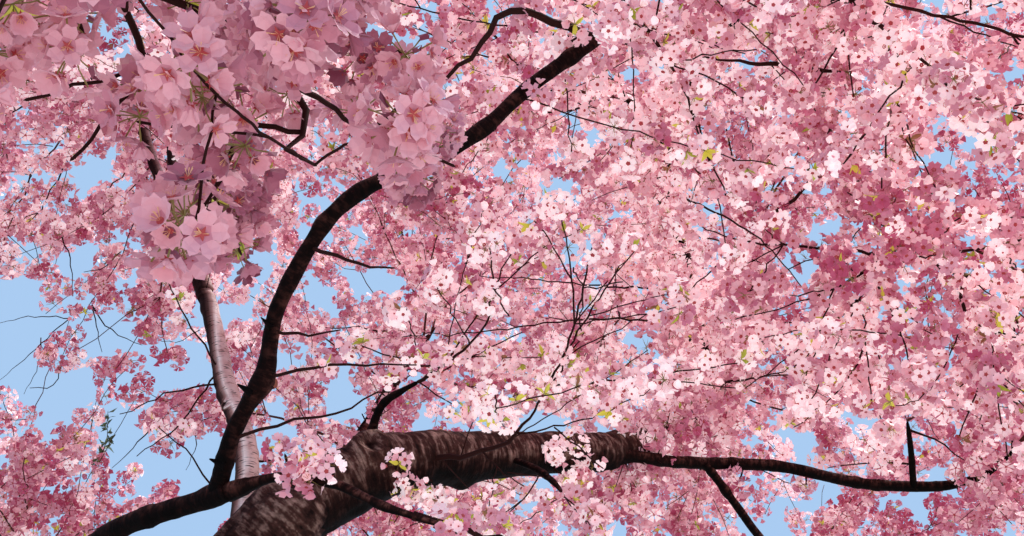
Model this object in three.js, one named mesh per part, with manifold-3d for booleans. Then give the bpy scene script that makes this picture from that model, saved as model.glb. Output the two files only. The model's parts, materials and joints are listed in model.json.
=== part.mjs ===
// A flowering cherry tree: one leaning trunk that forks at head height into a
// long side bough and an upright leader, smaller boughs, and blossom in masses.
// Millimetres, +Z up. The origin is the middle of the flat cut under the trunk,
// at ground level, and the great bough runs towards +X.
import * as THREE from "three";
import { mergeVertices } from "three/addons/utils/BufferGeometryUtils.js";
import Module from "manifold-3d";

const wasm = await Module();
wasm.setup();

// Driving dimensions
const TREE_HEIGHT = 7900;
const CROWN_MIDDLE = [400, -150]; // the crown stands a little to the great bough's side
const SKIRT_REACH = 3400; // from the crown's middle to the middle of a lowest outer mass
const SKIRT_HEIGHT = 3800;
const SHOULDER_REACH = 2200;
const SHOULDER_HEIGHT = 5350;
const TOP_REACH = 950;
const TOP_HALF_HEIGHT = 950;
const MASS_HALF_WIDTH = 1280; // of a mass in one of the three rings
const SKIRT_HALF_HEIGHT = 820;
const SHOULDER_HALF_HEIGHT = 950;

const TRUNK_RADIUS = 172; // above the root flare
const FORK_RADIUS = 116;
const FLARE_HEIGHT = 300; // the flare dies away over about this height
const FLARE_WIDTH = 0.75; // extra width at the ground, as a share of the trunk's radius
const FLARE_ROOTS = 5;
const SUNK_START = 40; // the trunk is drawn from this far underground, then cut off flat at the ground
const FLARE_DEPTH = 0.3; // how deep the hollows between the roots are, as a share of the flare

const SEAM = 0.35; // the gap between two solids that touch
const COLLAR = 0.25; // a side limb is this much wider where it leaves its parent
const COLLAR_LENGTH = 1.5; // the collar dies away over about this many of the limb's radii
const CARRIES_ON = 0.92; // a limb from past this share of its parent carries it on, without a collar
const TRUNK_SIDES = 16;
const TRUNK_STEP = 240; // length between two rings of corners
const LIMB_SIDES = 8;
const LIMB_STEP = 370;
const THIN_RADIUS = 40; // limbs thinner than this get fewer sides and longer steps
const THIN_SIDES = 6;
const THIN_STEP = 450;
const MASS_DETAIL = 2; // how often the first twenty faces of a mass are divided
const SMALL_MASS = 450; // a mass with no half size over this has one division less
const LUMP_DEPTH = 0.055; // of one wave of lumps, as a share of a mass's size
const LUMP_WAVES = 4;
const LUMP_PACE = [2.5, 6]; // slowest and fastest wave, in radians for each radius of the mass
const SLIMMEST = 0.8; // the least that the waves leave of a mass's half size
const MASS_SEED = 101;
const OPENING_MIDDLE = [-1150, 1640, 4330]; // where the crown is open to the sky, high on the left
const OPENING_AIM = [-0.382, 0.79, 0.48];
const OPENING_HALF = [2200, 680, 500]; // along the aim, across it, and upwards
const RING_SCATTER = 0.06; // how far a ring's masses stray from it, as a share of its reach
const RING_LIFT = 0.25; // and how far up or down, as a share of their half height
const RING_DEPTH = 0.92; // their half size towards the crown's middle, as a share of that along the ring

const BARK = { color: 0x4a3430, roughness: 0.85, metalness: 0 };
const BLOSSOM = { color: 0xf0b9c6, roughness: 0.7, metalness: 0 };

// The trunk rises almost upright, then bows over towards the great bough.
const TRUNK_ROUTE = [
  [0, 0, -SUNK_START], [0, 0, 160], [10, -20, 900], [50, -50, 1750],
  [190, -85, 2420], [330, -115, 2690], [450, -130, 2830],
];

// Each limb starts on its parent's centreline, at the share of the parent's length given by at,
// and follows its route; a limb with into runs on until it enters that mass.
const LIMBS = [
  { name: "great_bough", parent: "trunk", at: 0.985, base: 104, tip: 74,
    route: [[570, -90, 2910], [820, 60, 3030], [1130, 330, 3180], [1500, 580, 3310]] },
  { name: "leader", parent: "trunk", at: 0.9, base: 43, tip: 33,
    route: [[260, -70, 2900], [200, -30, 3020], [100, 20, 3230], [0, 90, 3510], [-100, 140, 3760]] },
  { name: "leader_left_fork", parent: "leader", at: 0.97, base: 28, tip: 18, into: "shoulder_blossom_3",
    route: [[-260, 190, 4050], [-420, 200, 4370], [-620, 230, 4820], [-820, 450, 5200]] },
  { name: "leader_right_fork", parent: "leader", at: 0.95, base: 28, tip: 18, into: "top_blossom_2",
    route: [[-200, 150, 4040], [-320, 150, 4320], [-430, 150, 4720], [-430, 180, 5400]] },
  { name: "front_bough", parent: "trunk", at: 0.62, base: 30, tip: 24,
    route: [[-20, -420, 2200], [10, -710, 2370], [220, -820, 2420], [470, -1020, 2450]] },
  { name: "front_bough_rise", parent: "front_bough", at: 0.97, base: 20, tip: 13, into: "skirt_blossom_7",
    step: 150,
    route: [[470, -1070, 2510], [500, -1130, 2590], [538, -1150, 2640], [554, -1205, 2730],
      [616, -1280, 2880], [740, -1360, 3020], [960, -1410, 3105], [1140, -1450, 3280],
      [1390, -1510, 3520], [1450, -2000, 3760]] },
  { name: "front_bough_spur", parent: "front_bough", at: 0.96, base: 12, tip: 9, step: 150,
    route: [[560, -1060, 2460], [680, -1110, 2440], [780, -1140, 2380], [1010, -1190, 2290]] },
  { name: "great_bough_end", parent: "great_bough", at: 0.98, base: 62, tip: 34, into: "shoulder_blossom_1",
    route: [[1780, 850, 3520], [2050, 1050, 3800], [2250, 1100, 4150]] },
  { name: "right_branch", parent: "great_bough", at: 0.93, base: 27, tip: 20, into: "skirt_blossom_1",
    route: [[1650, 630, 3320], [1960, 730, 3310], [2340, 740, 3310], [2590, 780, 3270], [2880, 800, 3210]] },
  { name: "right_branch_fork", parent: "right_branch", at: 0.17, base: 19, tip: 14, into: "skirt_blossom_2",
    route: [[2030, 820, 3200], [2120, 900, 3090], [2300, 1100, 3000]] },
  { name: "right_branch_stub", parent: "right_branch", at: 0.47, base: 15, tip: 10,
    route: [[2750, 690, 3320], [2710, 545, 3430]] },
  { name: "middle_limb", parent: "great_bough", at: 0.2, base: 15, tip: 10, into: "middle_spray", step: 120,
    route: [[630, -90, 3110], [700, -160, 3150], [870, -340, 3150]] },
  { name: "under_bough_limb", parent: "great_bough", at: 0.6, base: 14, tip: 9, into: "under_bough_spray",
    route: [[1250, 80, 2960]] },
  { name: "over_bough", parent: "great_bough_end", at: 0.3, base: 44, tip: 26, into: "skirt_blossom_8",
    route: [[1900, 600, 4100], [1720, -200, 4400], [2150, -1150, 4300]] },
  { name: "over_bough_rise", parent: "over_bough", at: 0.5, base: 28, tip: 18, into: "shoulder_blossom_6",
    route: [[1800, -900, 4700]] },
  { name: "over_bough_drop", parent: "over_bough", at: 0.62, base: 22, tip: 14, into: "front_canopy",
    route: [[2000, -1200, 3950]] },
  { name: "right_canopy_limb", parent: "over_bough", at: 0.55, base: 20, tip: 13, into: "right_canopy",
    route: [[2150, -650, 4000]] },
  { name: "over_bough_side", parent: "over_bough", at: 0.35, base: 22, tip: 14, into: "over_bough_blossom",
    route: [[1500, -300, 4450]] },
  { name: "back_bough", parent: "trunk", at: 0.74, base: 66, tip: 38, into: "skirt_blossom_3",
    route: [[60, 450, 2600], [50, 1200, 3000], [250, 2000, 3300]] },
  { name: "back_left_limb", parent: "back_bough", at: 0.35, base: 40, tip: 22, into: "skirt_blossom_4",
    route: [[-300, 1000, 2850], [-1100, 1700, 3050]] },
  { name: "back_rise", parent: "back_bough", at: 0.5, base: 32, tip: 20, into: "shoulder_blossom_2",
    route: [[250, 1450, 3600]] },
  { name: "left_bough", parent: "trunk", at: 0.68, base: 66, tip: 36, into: "skirt_blossom_5",
    route: [[-350, -300, 2450], [-1250, -550, 2950], [-2000, -450, 3300]] },
  { name: "left_rise", parent: "left_bough", at: 0.45, base: 36, tip: 20, into: "shoulder_blossom_4",
    route: [[-1300, -600, 3700]] },
  { name: "front_left_limb", parent: "left_bough", at: 0.35, base: 36, tip: 20, into: "skirt_blossom_6",
    route: [[-1050, -1300, 3050]] },
  { name: "front_left_rise", parent: "front_left_limb", at: 0.5, base: 26, tip: 16, into: "shoulder_blossom_5",
    route: [[-900, -1900, 3900]] },
  { name: "near_limb", parent: "front_left_limb", at: 0.45, base: 22, tip: 9, into: "near_spray",
    route: [[-700, -2150, 3150], [-150, -2400, 2950], [250, -2470, 2700]] },
  { name: "top_right_limb", parent: "leader_right_fork", at: 0.56, base: 22, tip: 15, into: "top_blossom_1",
    route: [[200, 180, 5850]] },
  { name: "top_front_limb", parent: "leader_right_fork", at: 0.6, base: 22, tip: 15, into: "top_blossom_3",
    route: [[-50, -350, 5850]] },
];

// Masses in rings round the crown's middle, by bearing in degrees from +X towards +Y.
const RINGS = [
  { name: "skirt_blossom", seed: 11, reach: SKIRT_REACH, height: SKIRT_HEIGHT,
    halfHeight: SKIRT_HALF_HEIGHT, bearings: [357, 44, 89, 137, 186, 232, 276, 317] },
  { name: "shoulder_blossom", seed: 18, reach: SHOULDER_REACH, height: SHOULDER_HEIGHT,
    halfHeight: SHOULDER_HALF_HEIGHT, bearings: [15, 75, 135, 190, 245, 310] },
  { name: "top_blossom", seed: 25, reach: TOP_REACH, height: TREE_HEIGHT - TOP_HALF_HEIGHT,
    halfHeight: TOP_HALF_HEIGHT, bearings: [30, 150, 270] },
];

// Masses inside the crown, by their middles and half sizes along X, Y and Z.
const SPRAYS = [
  { name: "near_spray", at: [750, -2480, 2330], half: [290, 300, 200] },
  { name: "front_canopy", at: [2050, -1650, 3350], half: [850, 750, 430] },
  { name: "right_canopy", at: [2450, -550, 3170], half: [850, 700, 370] },
  { name: "middle_spray", at: [1290, -600, 3210], half: [640, 520, 390] },
  { name: "under_bough_spray", at: [1250, -180, 2730], half: [380, 260, 160] },
  { name: "over_bough_blossom", at: [930, -620, 4260], half: [800, 700, 450] },
  { name: "leader_blossom", at: [-230, 350, 4980], half: [600, 520, 420] },
  { name: "inner_blossom", at: [430, 1330, 4180], half: [800, 640, 470] },
];

// A repeatable row of numbers between 0 and 1.
function makeRandom(seed) {
  const span = 2 ** 32;
  let state = seed;
  return () => {
    state = (state * 1664525 + 1013904223) % span;
    return state / span;
  };
}

function toSolid(geometry) {
  geometry.deleteAttribute("normal");
  geometry.deleteAttribute("uv");
  const welded = mergeVertices(geometry, 1e-3);
  const mesh = new wasm.Mesh({
    numProp: 3,
    vertProperties: new Float32Array(welded.attributes.position.array),
    triVerts: new Uint32Array(welded.index.array),
  });
  return new wasm.Manifold(mesh);
}

function largestBody(solid) {
  return solid.decompose().reduce((best, body) => (body.volume() > best.volume() ? body : best));
}

const countSteps = (curve, step) => Math.max(3, Math.round(curve.getLength() / step));

// The point at a share of a limb's length, on the straight pieces that its rod is made of.
function pointOn(limb, share) {
  const ring = Math.min(Math.floor(share * limb.steps), limb.steps - 1);
  const from = limb.curve.getPointAt(ring / limb.steps);
  return from.lerp(limb.curve.getPointAt((ring + 1) / limb.steps), share * limb.steps - ring);
}

// A round rod bent along a curve, with its radius given by share of length and by direction.
// The spare width is added all round and at both ends.
function bentRod(curve, sides, steps, spare, radiusAt) {
  const frames = curve.computeFrenetFrames(steps);
  const rod = new THREE.CylinderGeometry(1, 1, 1, sides, steps);
  const corners = rod.attributes.position;
  for (let i = 0; i < corners.count; i += 1) {
    const corner = new THREE.Vector3().fromBufferAttribute(corners, i);
    const ring = Math.round((corner.y + 0.5) * steps);
    const share = ring / steps;
    const across = new THREE.Vector3();
    across.addScaledVector(frames.normals[ring], corner.x);
    across.addScaledVector(frames.binormals[ring], -corner.z);
    across.multiplyScalar(radiusAt(share, across) + spare);
    across.add(curve.getPointAt(share));
    if (ring === 0 || ring === steps) {
      across.addScaledVector(frames.tangents[ring], ring === 0 ? -spare : spare);
    }
    corners.setXYZ(i, across.x, across.y, across.z);
  }
  return toSolid(rod);
}

function trunkRadius(share, across) {
  const height = share * TRUNK_ROUTE.at(-1)[2];
  const flare = FLARE_WIDTH * Math.exp(-height / FLARE_HEIGHT);
  const lobes = Math.cos(FLARE_ROOTS * Math.atan2(across.y, across.x));
  const taper = THREE.MathUtils.lerp(TRUNK_RADIUS, FORK_RADIUS, share ** 2);
  return taper * (1 + flare * (1 - FLARE_DEPTH * (1 - lobes) / 2));
}

// The same limb twice: as it is, and one seam wider all round for cutting its neighbours.
function makeTrunk() {
  const curve = new THREE.CatmullRomCurve3(TRUNK_ROUTE.map((point) => new THREE.Vector3(...point)));
  const steps = countSteps(curve, TRUNK_STEP);
  const makeRod = (spare) => bentRod(curve, TRUNK_SIDES, steps, spare, trunkRadius);
  const solid = makeRod(0).trimByPlane([0, 0, 1], 0);
  const wide = makeRod(SEAM);
  return { name: "trunk", curve, steps, base: TRUNK_RADIUS, tip: FORK_RADIUS, solid, wide };
}

function makeLimb(plan, parent, mass) {
  const start = pointOn(parent, plan.at);
  const points = [start, ...plan.route.map((point) => new THREE.Vector3(...point))];
  if (mass) {
    points.push(new THREE.Vector3(...mass.at));
  }
  const curve = new THREE.CatmullRomCurve3(points);
  const length = curve.getLength();
  const sunk = THREE.MathUtils.lerp(parent.base, parent.tip, plan.at);
  const collar = plan.at > CARRIES_ON ? 0 : COLLAR;
  const radiusAt = (share) => {
    const past = Math.max(share * length - sunk, 0);
    const swell = 1 + collar * Math.exp(-past / (COLLAR_LENGTH * plan.base));
    return THREE.MathUtils.lerp(plan.base, plan.tip, share) * swell;
  };
  const thin = plan.base < THIN_RADIUS;
  const sides = thin ? THIN_SIDES : LIMB_SIDES;
  const steps = countSteps(curve, plan.step ?? (thin ? THIN_STEP : LIMB_STEP));
  const makeRod = (spare) => bentRod(curve, sides, steps, spare, radiusAt);
  return { ...plan, curve, steps, solid: makeRod(0), wide: makeRod(SEAM) };
}

// No mass of the top ring is lifted, so that the tree keeps its height.
function ringMasses(ring) {
  const random = makeRandom(ring.seed);
  return ring.bearings.map((bearing, index) => {
    const turn = THREE.MathUtils.degToRad(bearing);
    const reach = ring.reach * (1 + RING_SCATTER * (2 * random() - 1));
    const lift = ring.halfHeight * RING_LIFT * (2 * random() - 1);
    const isTop = ring.height + ring.halfHeight >= TREE_HEIGHT;
    const x = CROWN_MIDDLE[0] + reach * Math.cos(turn);
    const y = CROWN_MIDDLE[1] + reach * Math.sin(turn);
    return {
      name: `${ring.name}_${index + 1}`,
      at: [x, y, isTop ? ring.height - Math.abs(lift) : ring.height + lift],
      half: [MASS_HALF_WIDTH * RING_DEPTH, MASS_HALF_WIDTH, ring.halfHeight],
      turn,
    };
  });
}

// One closed lump of blossom: a ball pushed in and out by a few waves of its own.
function massSolid(mass, seed, scale) {
  const random = makeRandom(seed);
  const waves = Array.from({ length: LUMP_WAVES }, () => ({
    axis: new THREE.Vector3(random() - 0.5, random() - 0.5, random() - 0.5).normalize(),
    pace: THREE.MathUtils.lerp(...LUMP_PACE, random()),
    phase: 2 * Math.PI * random(),
  }));
  const detail = Math.max(...mass.half) > SMALL_MASS ? MASS_DETAIL : MASS_DETAIL - 1;
  const ball = new THREE.IcosahedronGeometry(1, detail);
  const corners = ball.attributes.position;
  for (let i = 0; i < corners.count; i += 1) {
    const corner = new THREE.Vector3().fromBufferAttribute(corners, i).normalize();
    const pushes = waves.map((wave) => Math.sin(wave.pace * corner.dot(wave.axis) + wave.phase));
    const swell = pushes.reduce((sum, push) => sum + LUMP_DEPTH * push, 1);
    corner.multiplyScalar(swell * scale).multiply(new THREE.Vector3(...mass.half));
    corner.applyAxisAngle(new THREE.Vector3(0, 0, 1), mass.turn ?? 0);
    corner.add(new THREE.Vector3(...mass.at));
    corners.setXYZ(i, corner.x, corner.y, corner.z);
  }
  return toSolid(ball);
}

function openingSolid() {
  const ball = new THREE.IcosahedronGeometry(1, MASS_DETAIL - 1);
  ball.scale(...OPENING_HALF);
  const aim = new THREE.Vector3(...OPENING_AIM).normalize();
  const across = new THREE.Vector3(0, 0, 1).cross(aim).normalize();
  ball.applyMatrix4(new THREE.Matrix4().makeBasis(aim, across, aim.clone().cross(across)));
  ball.translate(...OPENING_MIDDLE);
  return toSolid(ball);
}

const opening = openingSolid();
const masses = [...SPRAYS, ...RINGS.flatMap(ringMasses)];
masses.forEach((mass, index) => {
  mass.solid = massSolid(mass, MASS_SEED + index, 1);
  mass.wide = massSolid(mass, MASS_SEED + index, 1 + SEAM / (SLIMMEST * Math.min(...mass.half)));
});

const limbs = [makeTrunk()];
LIMBS.forEach((plan) => {
  const parent = limbs.find((limb) => limb.name === plan.parent);
  const mass = masses.find((candidate) => candidate.name === plan.into);
  limbs.push(makeLimb(plan, parent, mass));
});

// A mass is cut by the opening, round the masses before it, and round every limb that runs
// through it. Its reach is the same one seam wider, to cut the limb that ends in it.
masses.forEach((mass, index) => {
  const neighbours = [...masses.slice(0, index), ...limbs.filter((limb) => limb.into !== mass.name)];
  const cut = (solid, cutters) => cutters.reduce((rest, cutter) => largestBody(rest.subtract(cutter)), solid);
  mass.body = cut(mass.solid, [opening, ...neighbours.map((neighbour) => neighbour.wide)]);
  mass.reach = cut(mass.wide, neighbours.map((neighbour) => neighbour.solid));
});

// A limb starts at its parent's skin and ends where it enters its mass.
limbs.forEach((limb, index) => {
  const cutters = limbs.slice(0, index).map((earlier) => earlier.wide);
  const mass = masses.find((candidate) => candidate.name === limb.into);
  if (mass) {
    cutters.push(mass.reach);
  }
  limb.body = cutters.reduce((solid, cutter) => largestBody(solid.subtract(cutter)), limb.solid);
});

function toMesh(name, solid, look) {
  const { vertProperties, triVerts } = solid.getMesh();
  const geometry = new THREE.BufferGeometry();
  geometry.setAttribute("position", new THREE.BufferAttribute(new Float32Array(vertProperties), 3));
  geometry.setIndex(new THREE.BufferAttribute(new Uint32Array(triVerts), 1));
  geometry.computeVertexNormals();
  const mesh = new THREE.Mesh(geometry, new THREE.MeshStandardMaterial(look));
  mesh.name = name;
  return mesh;
}

const tree = new THREE.Group();
tree.name = "cherry_blossom_tree";
limbs.forEach((limb) => tree.add(toMesh(limb.name, limb.body, BARK)));
masses.forEach((mass) => tree.add(toMesh(mass.name, mass.body, BLOSSOM)));

export default tree;
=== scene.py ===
# %% [markdown]
# # A flowering cherry tree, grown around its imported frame
#
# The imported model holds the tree's trunk and boughs as plain rods and its blossom as closed lumps.
# On the real tree the rods are rough with bark, and each lump is a cloud of flowers on fine twigs.
# This lesson reads the places of the rods and lumps from the frame, wraps the rods in bark, grows
# twigs from them through the lumps, and hangs flowers and young leaves on the twigs.

# %% Load the frame
import json
import math
from collections import Counter

import bmesh
import bpy
import numpy as np
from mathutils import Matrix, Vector, noise
from mathutils.bvhtree import BVHTree

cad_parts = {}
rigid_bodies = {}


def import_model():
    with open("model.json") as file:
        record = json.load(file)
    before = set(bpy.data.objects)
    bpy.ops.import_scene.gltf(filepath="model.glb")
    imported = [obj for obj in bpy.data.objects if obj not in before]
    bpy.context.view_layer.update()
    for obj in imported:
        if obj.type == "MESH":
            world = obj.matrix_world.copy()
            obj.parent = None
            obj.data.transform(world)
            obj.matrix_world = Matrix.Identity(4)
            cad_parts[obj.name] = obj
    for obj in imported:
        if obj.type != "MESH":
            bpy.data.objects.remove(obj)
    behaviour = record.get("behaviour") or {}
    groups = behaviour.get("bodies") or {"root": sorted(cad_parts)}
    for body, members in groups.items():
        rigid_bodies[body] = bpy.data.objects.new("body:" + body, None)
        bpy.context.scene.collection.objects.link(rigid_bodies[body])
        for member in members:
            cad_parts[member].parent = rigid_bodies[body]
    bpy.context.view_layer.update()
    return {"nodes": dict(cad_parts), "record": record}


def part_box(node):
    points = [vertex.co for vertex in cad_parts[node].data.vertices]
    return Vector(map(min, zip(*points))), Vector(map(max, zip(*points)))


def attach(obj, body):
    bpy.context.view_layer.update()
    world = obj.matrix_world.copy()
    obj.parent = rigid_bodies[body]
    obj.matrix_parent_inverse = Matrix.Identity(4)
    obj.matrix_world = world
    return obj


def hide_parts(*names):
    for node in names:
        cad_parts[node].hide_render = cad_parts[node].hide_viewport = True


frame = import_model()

slot_of = {part["node"]: part["material_slot"] for part in frame["record"]["subparts"]}
limb_names = [node for node, slot in slot_of.items() if slot == "bark"]
mass_names = [node for node, slot in slot_of.items() if slot == "blossom"]
print(len(limb_names), "limbs and", len(mass_names), "masses of blossom")

# %% [markdown]
# ## The camera
#
# The picture looks up into the crown from about 1.5 m above the ground, towards +Y. The camera
# comes first, because the scene also asks where a point of the tree falls in the picture: flowers
# near the camera need more faces than flowers behind the crown.

# %% Camera and picture coordinates
IMAGE_WIDTH, IMAGE_HEIGHT = 1024, 536
CAMERA_PLACE = np.array([1.10, -3.10, 1.55])
CAMERA_PITCH = math.radians(36)
LENS = 35.0
SENSOR = 36.0
CLIP_START = 0.05

camera_data = bpy.data.cameras.new("camera")
camera_data.lens = LENS
camera_data.sensor_width = SENSOR
camera_data.clip_start = CLIP_START
camera = bpy.data.objects.new("camera", camera_data)
camera.location = CAMERA_PLACE
camera.rotation_euler = (math.pi / 2 + CAMERA_PITCH, 0, 0)
bpy.context.scene.collection.objects.link(camera)
bpy.context.scene.camera = camera

FOCAL = LENS / SENSOR * IMAGE_WIDTH
RIGHT = np.array([1.0, 0.0, 0.0])
FORWARD = np.array([0.0, math.cos(CAMERA_PITCH), math.sin(CAMERA_PITCH)])
UP = np.cross(RIGHT, FORWARD)


def to_pixels(points):
    """Where points fall in the picture, and their distance from the camera, negative behind it."""
    away = np.atleast_2d(points) - CAMERA_PLACE
    depth = away @ FORWARD
    ahead = np.maximum(depth, CLIP_START)
    u = IMAGE_WIDTH / 2 + FOCAL * (away @ RIGHT) / ahead
    v = IMAGE_HEIGHT / 2 - FOCAL * (away @ UP) / ahead
    return u, v, np.linalg.norm(away, axis=1) * np.sign(depth)


def from_pixel(u, v, distance):
    """The point seen at a pixel, at a distance from the camera."""
    ray = FORWARD + RIGHT * (u - IMAGE_WIDTH / 2) / FOCAL + UP * (IMAGE_HEIGHT / 2 - v) / FOCAL
    return CAMERA_PLACE + ray / np.linalg.norm(ray) * distance


print("picture width at 3 m:", round(3 * IMAGE_WIDTH / FOCAL, 2), "m")

# %% [markdown]
# ## Sky, sun and floor
#
# Petals let light through, so a crown seen from below glows. Opaque petals don't, so a broad soft
# lamp that lies on the floor lights their undersides, and the sun from above keeps the tops and
# edges crisp. The sky is one plain blue, and the floor a plain pale disc.

# %% Helpers for colours, finishes and objects
def paint(red, green, blue):
    """A screen colour, from 0 to 255, turned into the linear colour that a shader takes."""
    def to_linear(share):
        return share / 12.92 if share <= 0.04045 else ((share + 0.055) / 1.055) ** 2.4

    return (*[to_linear(value / 255) for value in (red, green, blue)], 1.0)


def make_plain(name, colour, roughness, glow=0.0, sheen=0.0, shine=0.5):
    """A finish of one colour, with an even glow for thin things that light shines through."""
    material = bpy.data.materials.new(name)
    material.use_nodes = True
    shader = material.node_tree.nodes["Principled BSDF"]
    shader.inputs["Base Color"].default_value = paint(*colour)
    shader.inputs["Roughness"].default_value = roughness
    shader.inputs["Sheen Weight"].default_value = sheen
    shader.inputs["Specular IOR Level"].default_value = shine
    shader.inputs["Emission Color"].default_value = paint(*colour)
    shader.inputs["Emission Strength"].default_value = glow
    return material


def as_object(name, mesh, materials):
    """Makes an object of a mesh, at the origin."""
    for material in materials:
        mesh.materials.append(material)
    piece = bpy.data.objects.new(name, mesh)
    bpy.context.scene.collection.objects.link(piece)
    return piece


def place(name, shape, materials):
    """Makes an object of a bmesh, and frees the bmesh."""
    mesh = bpy.data.meshes.new(name)
    shape.to_mesh(mesh)
    shape.free()
    return as_object(name, mesh, materials)


# %% Floor and sky
SKY = (170, 204, 242)
FLOOR = (172, 169, 164)
FLOOR_RADIUS = 40.0
FLOOR_SIDES = 96

floor_shape = bmesh.new()
bmesh.ops.create_circle(floor_shape, segments=FLOOR_SIDES, radius=FLOOR_RADIUS, cap_ends=True)
floor = place("floor", floor_shape, [make_plain("floor_paper", FLOOR, 0.9)])

world = bpy.data.worlds.new("sky")
world.use_nodes = True
world.node_tree.nodes["Background"].inputs["Color"].default_value = paint(*SKY)
bpy.context.scene.world = world
bpy.context.scene.view_settings.view_transform = "Standard"

# %% Sun and fill
SUN_FROM = Vector((0.50, 0.12, 0.86))
SUN_STRENGTH = 4.9
SUN_SIZE = math.radians(4)
SUN_DISTANCE = 20
SUN_COLOUR = (1.0, 0.96, 0.9)
FILL_PLACE = Vector((1.2, -3.5, 0.02))
FILL_SIZE = 6.0
FILL_POWER = 60.0
FILL_COLOUR = (1.0, 0.95, 0.94)


def add_lamp(name, kind, place_at, aim, strength, size, colour):
    """A lamp at a place, turned so that it shines along aim, and not itself seen by the camera."""
    lamp = bpy.data.lights.new(name, kind)
    lamp.energy = strength
    lamp.color = colour
    if kind == "SUN":
        lamp.angle = size
    else:
        lamp.size = size
    holder = bpy.data.objects.new(name, lamp)
    holder.location = place_at
    holder.rotation_euler = aim.to_track_quat("-Z", "Y").to_euler()
    holder.visible_camera = False
    bpy.context.scene.collection.objects.link(holder)


add_lamp("sun", "SUN", SUN_FROM * SUN_DISTANCE, -SUN_FROM, SUN_STRENGTH, SUN_SIZE, SUN_COLOUR)
add_lamp("fill", "AREA", FILL_PLACE, Vector((0, 0, 1)), FILL_POWER, FILL_SIZE, FILL_COLOUR)
print("lamps:", [lamp.name for lamp in bpy.data.lights if lamp.users])

# %% [markdown]
# ## Following the limbs of the frame
#
# A limb of the frame is a rod with rings of corners. Walking along its edges from the corners at
# its foot, each step outwards reaches the next ring, so the rings' middles give the limb's own
# line and thickness. The foot is where the limb touches the limb that carries it. A skin is a
# search tree over a node's faces. It answers which point of the node is nearest to another point,
# and what a ray hits.

# %% Skins of the frame's nodes
MERGE_GAP = 1e-5


def merged_copy(node):
    """A copy of a node's mesh with its loose triangles joined."""
    shape = bmesh.new()
    shape.from_mesh(frame["nodes"][node].data)
    bmesh.ops.remove_doubles(shape, verts=shape.verts, dist=MERGE_GAP)
    shape.verts.index_update()
    return shape


skins = {}
for node in limb_names + mass_names:
    skin_shape = merged_copy(node)
    skins[node] = BVHTree.FromBMesh(skin_shape)
    skin_shape.free()
print(len(skins), "skins")

# %% The rings of a limb
TOUCHING = 0.01
ROUNDED = 0.97


def rings_from(foot):
    """Groups a limb's corners into rings, walking along its edges from the corners of its foot."""
    seen = set(foot)
    ring = list(foot)
    rings = []
    while ring:
        rings.append(ring)
        beyond = {edge.other_vert(corner) for corner in ring for edge in corner.link_edges}
        ring = sorted(beyond - seen, key=lambda corner: corner.index)
        seen.update(ring)
    return rings


def middle_of(ring):
    """The middle of a ring and its radius."""
    corners = np.array([corner.co for corner in ring])
    centre = corners.mean(axis=0)
    return centre, np.linalg.norm(corners - centre, axis=1).mean()


def follow_limb(node, earlier):
    """The middles and radii of a limb's rings from its foot to its tip, and the limb that carries it."""
    shape = merged_copy(node)
    parent = None
    if earlier:
        nearest = {
            corner: min((skins[other].find_nearest(corner.co)[3], other) for other in earlier)
            for corner in shape.verts
        }
        foot = [corner for corner, (gap, other) in nearest.items() if gap < TOUCHING]
        parent = Counter(nearest[corner][1] for corner in foot).most_common(1)[0][0]
    else:
        foot = [corner for corner in shape.verts if corner.co.z < TOUCHING]
    rings = rings_from(foot)
    sides = Counter(len(ring) for ring in rings[1:]).most_common(1)[0][0]
    last_full = max(number for number, ring in enumerate(rings) if len(ring) == sides)
    found = [middle_of(ring) for ring in rings[1:last_full + 1]]
    centres = [middle_of(foot)[0]] + [centre for centre, radius in found]
    radii = [found[0][1]] + [radius for centre, radius in found]
    rest = [corner for ring in rings[last_full + 1:] for corner in ring]
    if rest and np.linalg.norm(middle_of(rest)[0] - centres[-1]) > found[-1][1]:
        centres.append(middle_of(rest)[0])
        radii.append(radii[-1])
    shape.free()
    return np.array(centres), ROUNDED * np.array(radii), parent


# %% [markdown]
# A real limb has no corners at its rings, so a smooth line runs through the middles. A curve object
# could give it, but the line is needed as plain points all through this lesson, so a formula works
# it out: between two knots it starts along the first one's direction and ends along the second's.

# %% A smooth line through knots
def smooth_line(knots, values, spacing):
    """A smooth line through the knots in steps of about the spacing, and the knots' values along it."""
    ahead = np.diff(knots, axis=0)
    reach = np.linalg.norm(ahead, axis=1, keepdims=True)
    aim = ahead / reach
    turned = np.vstack([aim[:1], aim[:-1] + aim[1:], aim[-1:]])
    turned /= np.maximum(np.linalg.norm(turned, axis=1, keepdims=True), 1e-9)
    points = []
    carried = []
    for number, length in enumerate(reach[:, 0]):
        share = np.arange(max(1, round(length / spacing)))[:, None]
        share = share / len(share)
        start, end = knots[number], knots[number + 1]
        leave, arrive = turned[number] * length, turned[number + 1] * length
        bend = (share - 2 * share**2 + share**3) * leave + (share**3 - share**2) * arrive
        points.append(start + (end - start) * (3 * share**2 - 2 * share**3) + bend)
        carried.append(values[number] + (values[number + 1] - values[number]) * share[:, 0])
    return np.vstack(points + [knots[-1:]]), np.append(np.concatenate(carried), values[-1])


def along_line(line):
    """How far each point of a line is from its start."""
    return np.append(0, np.cumsum(np.linalg.norm(np.diff(line, axis=0), axis=1)))


# %% [markdown]
# A limb's foot is sunk into the limb that carries it and swells a little there, as a branch collar
# does, and a slow wander keeps it from looking drawn with a ruler. The wander is a noise vector.
# Blender starts those from the clock, so a seed is set first, and every run gives the same tree.

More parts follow.
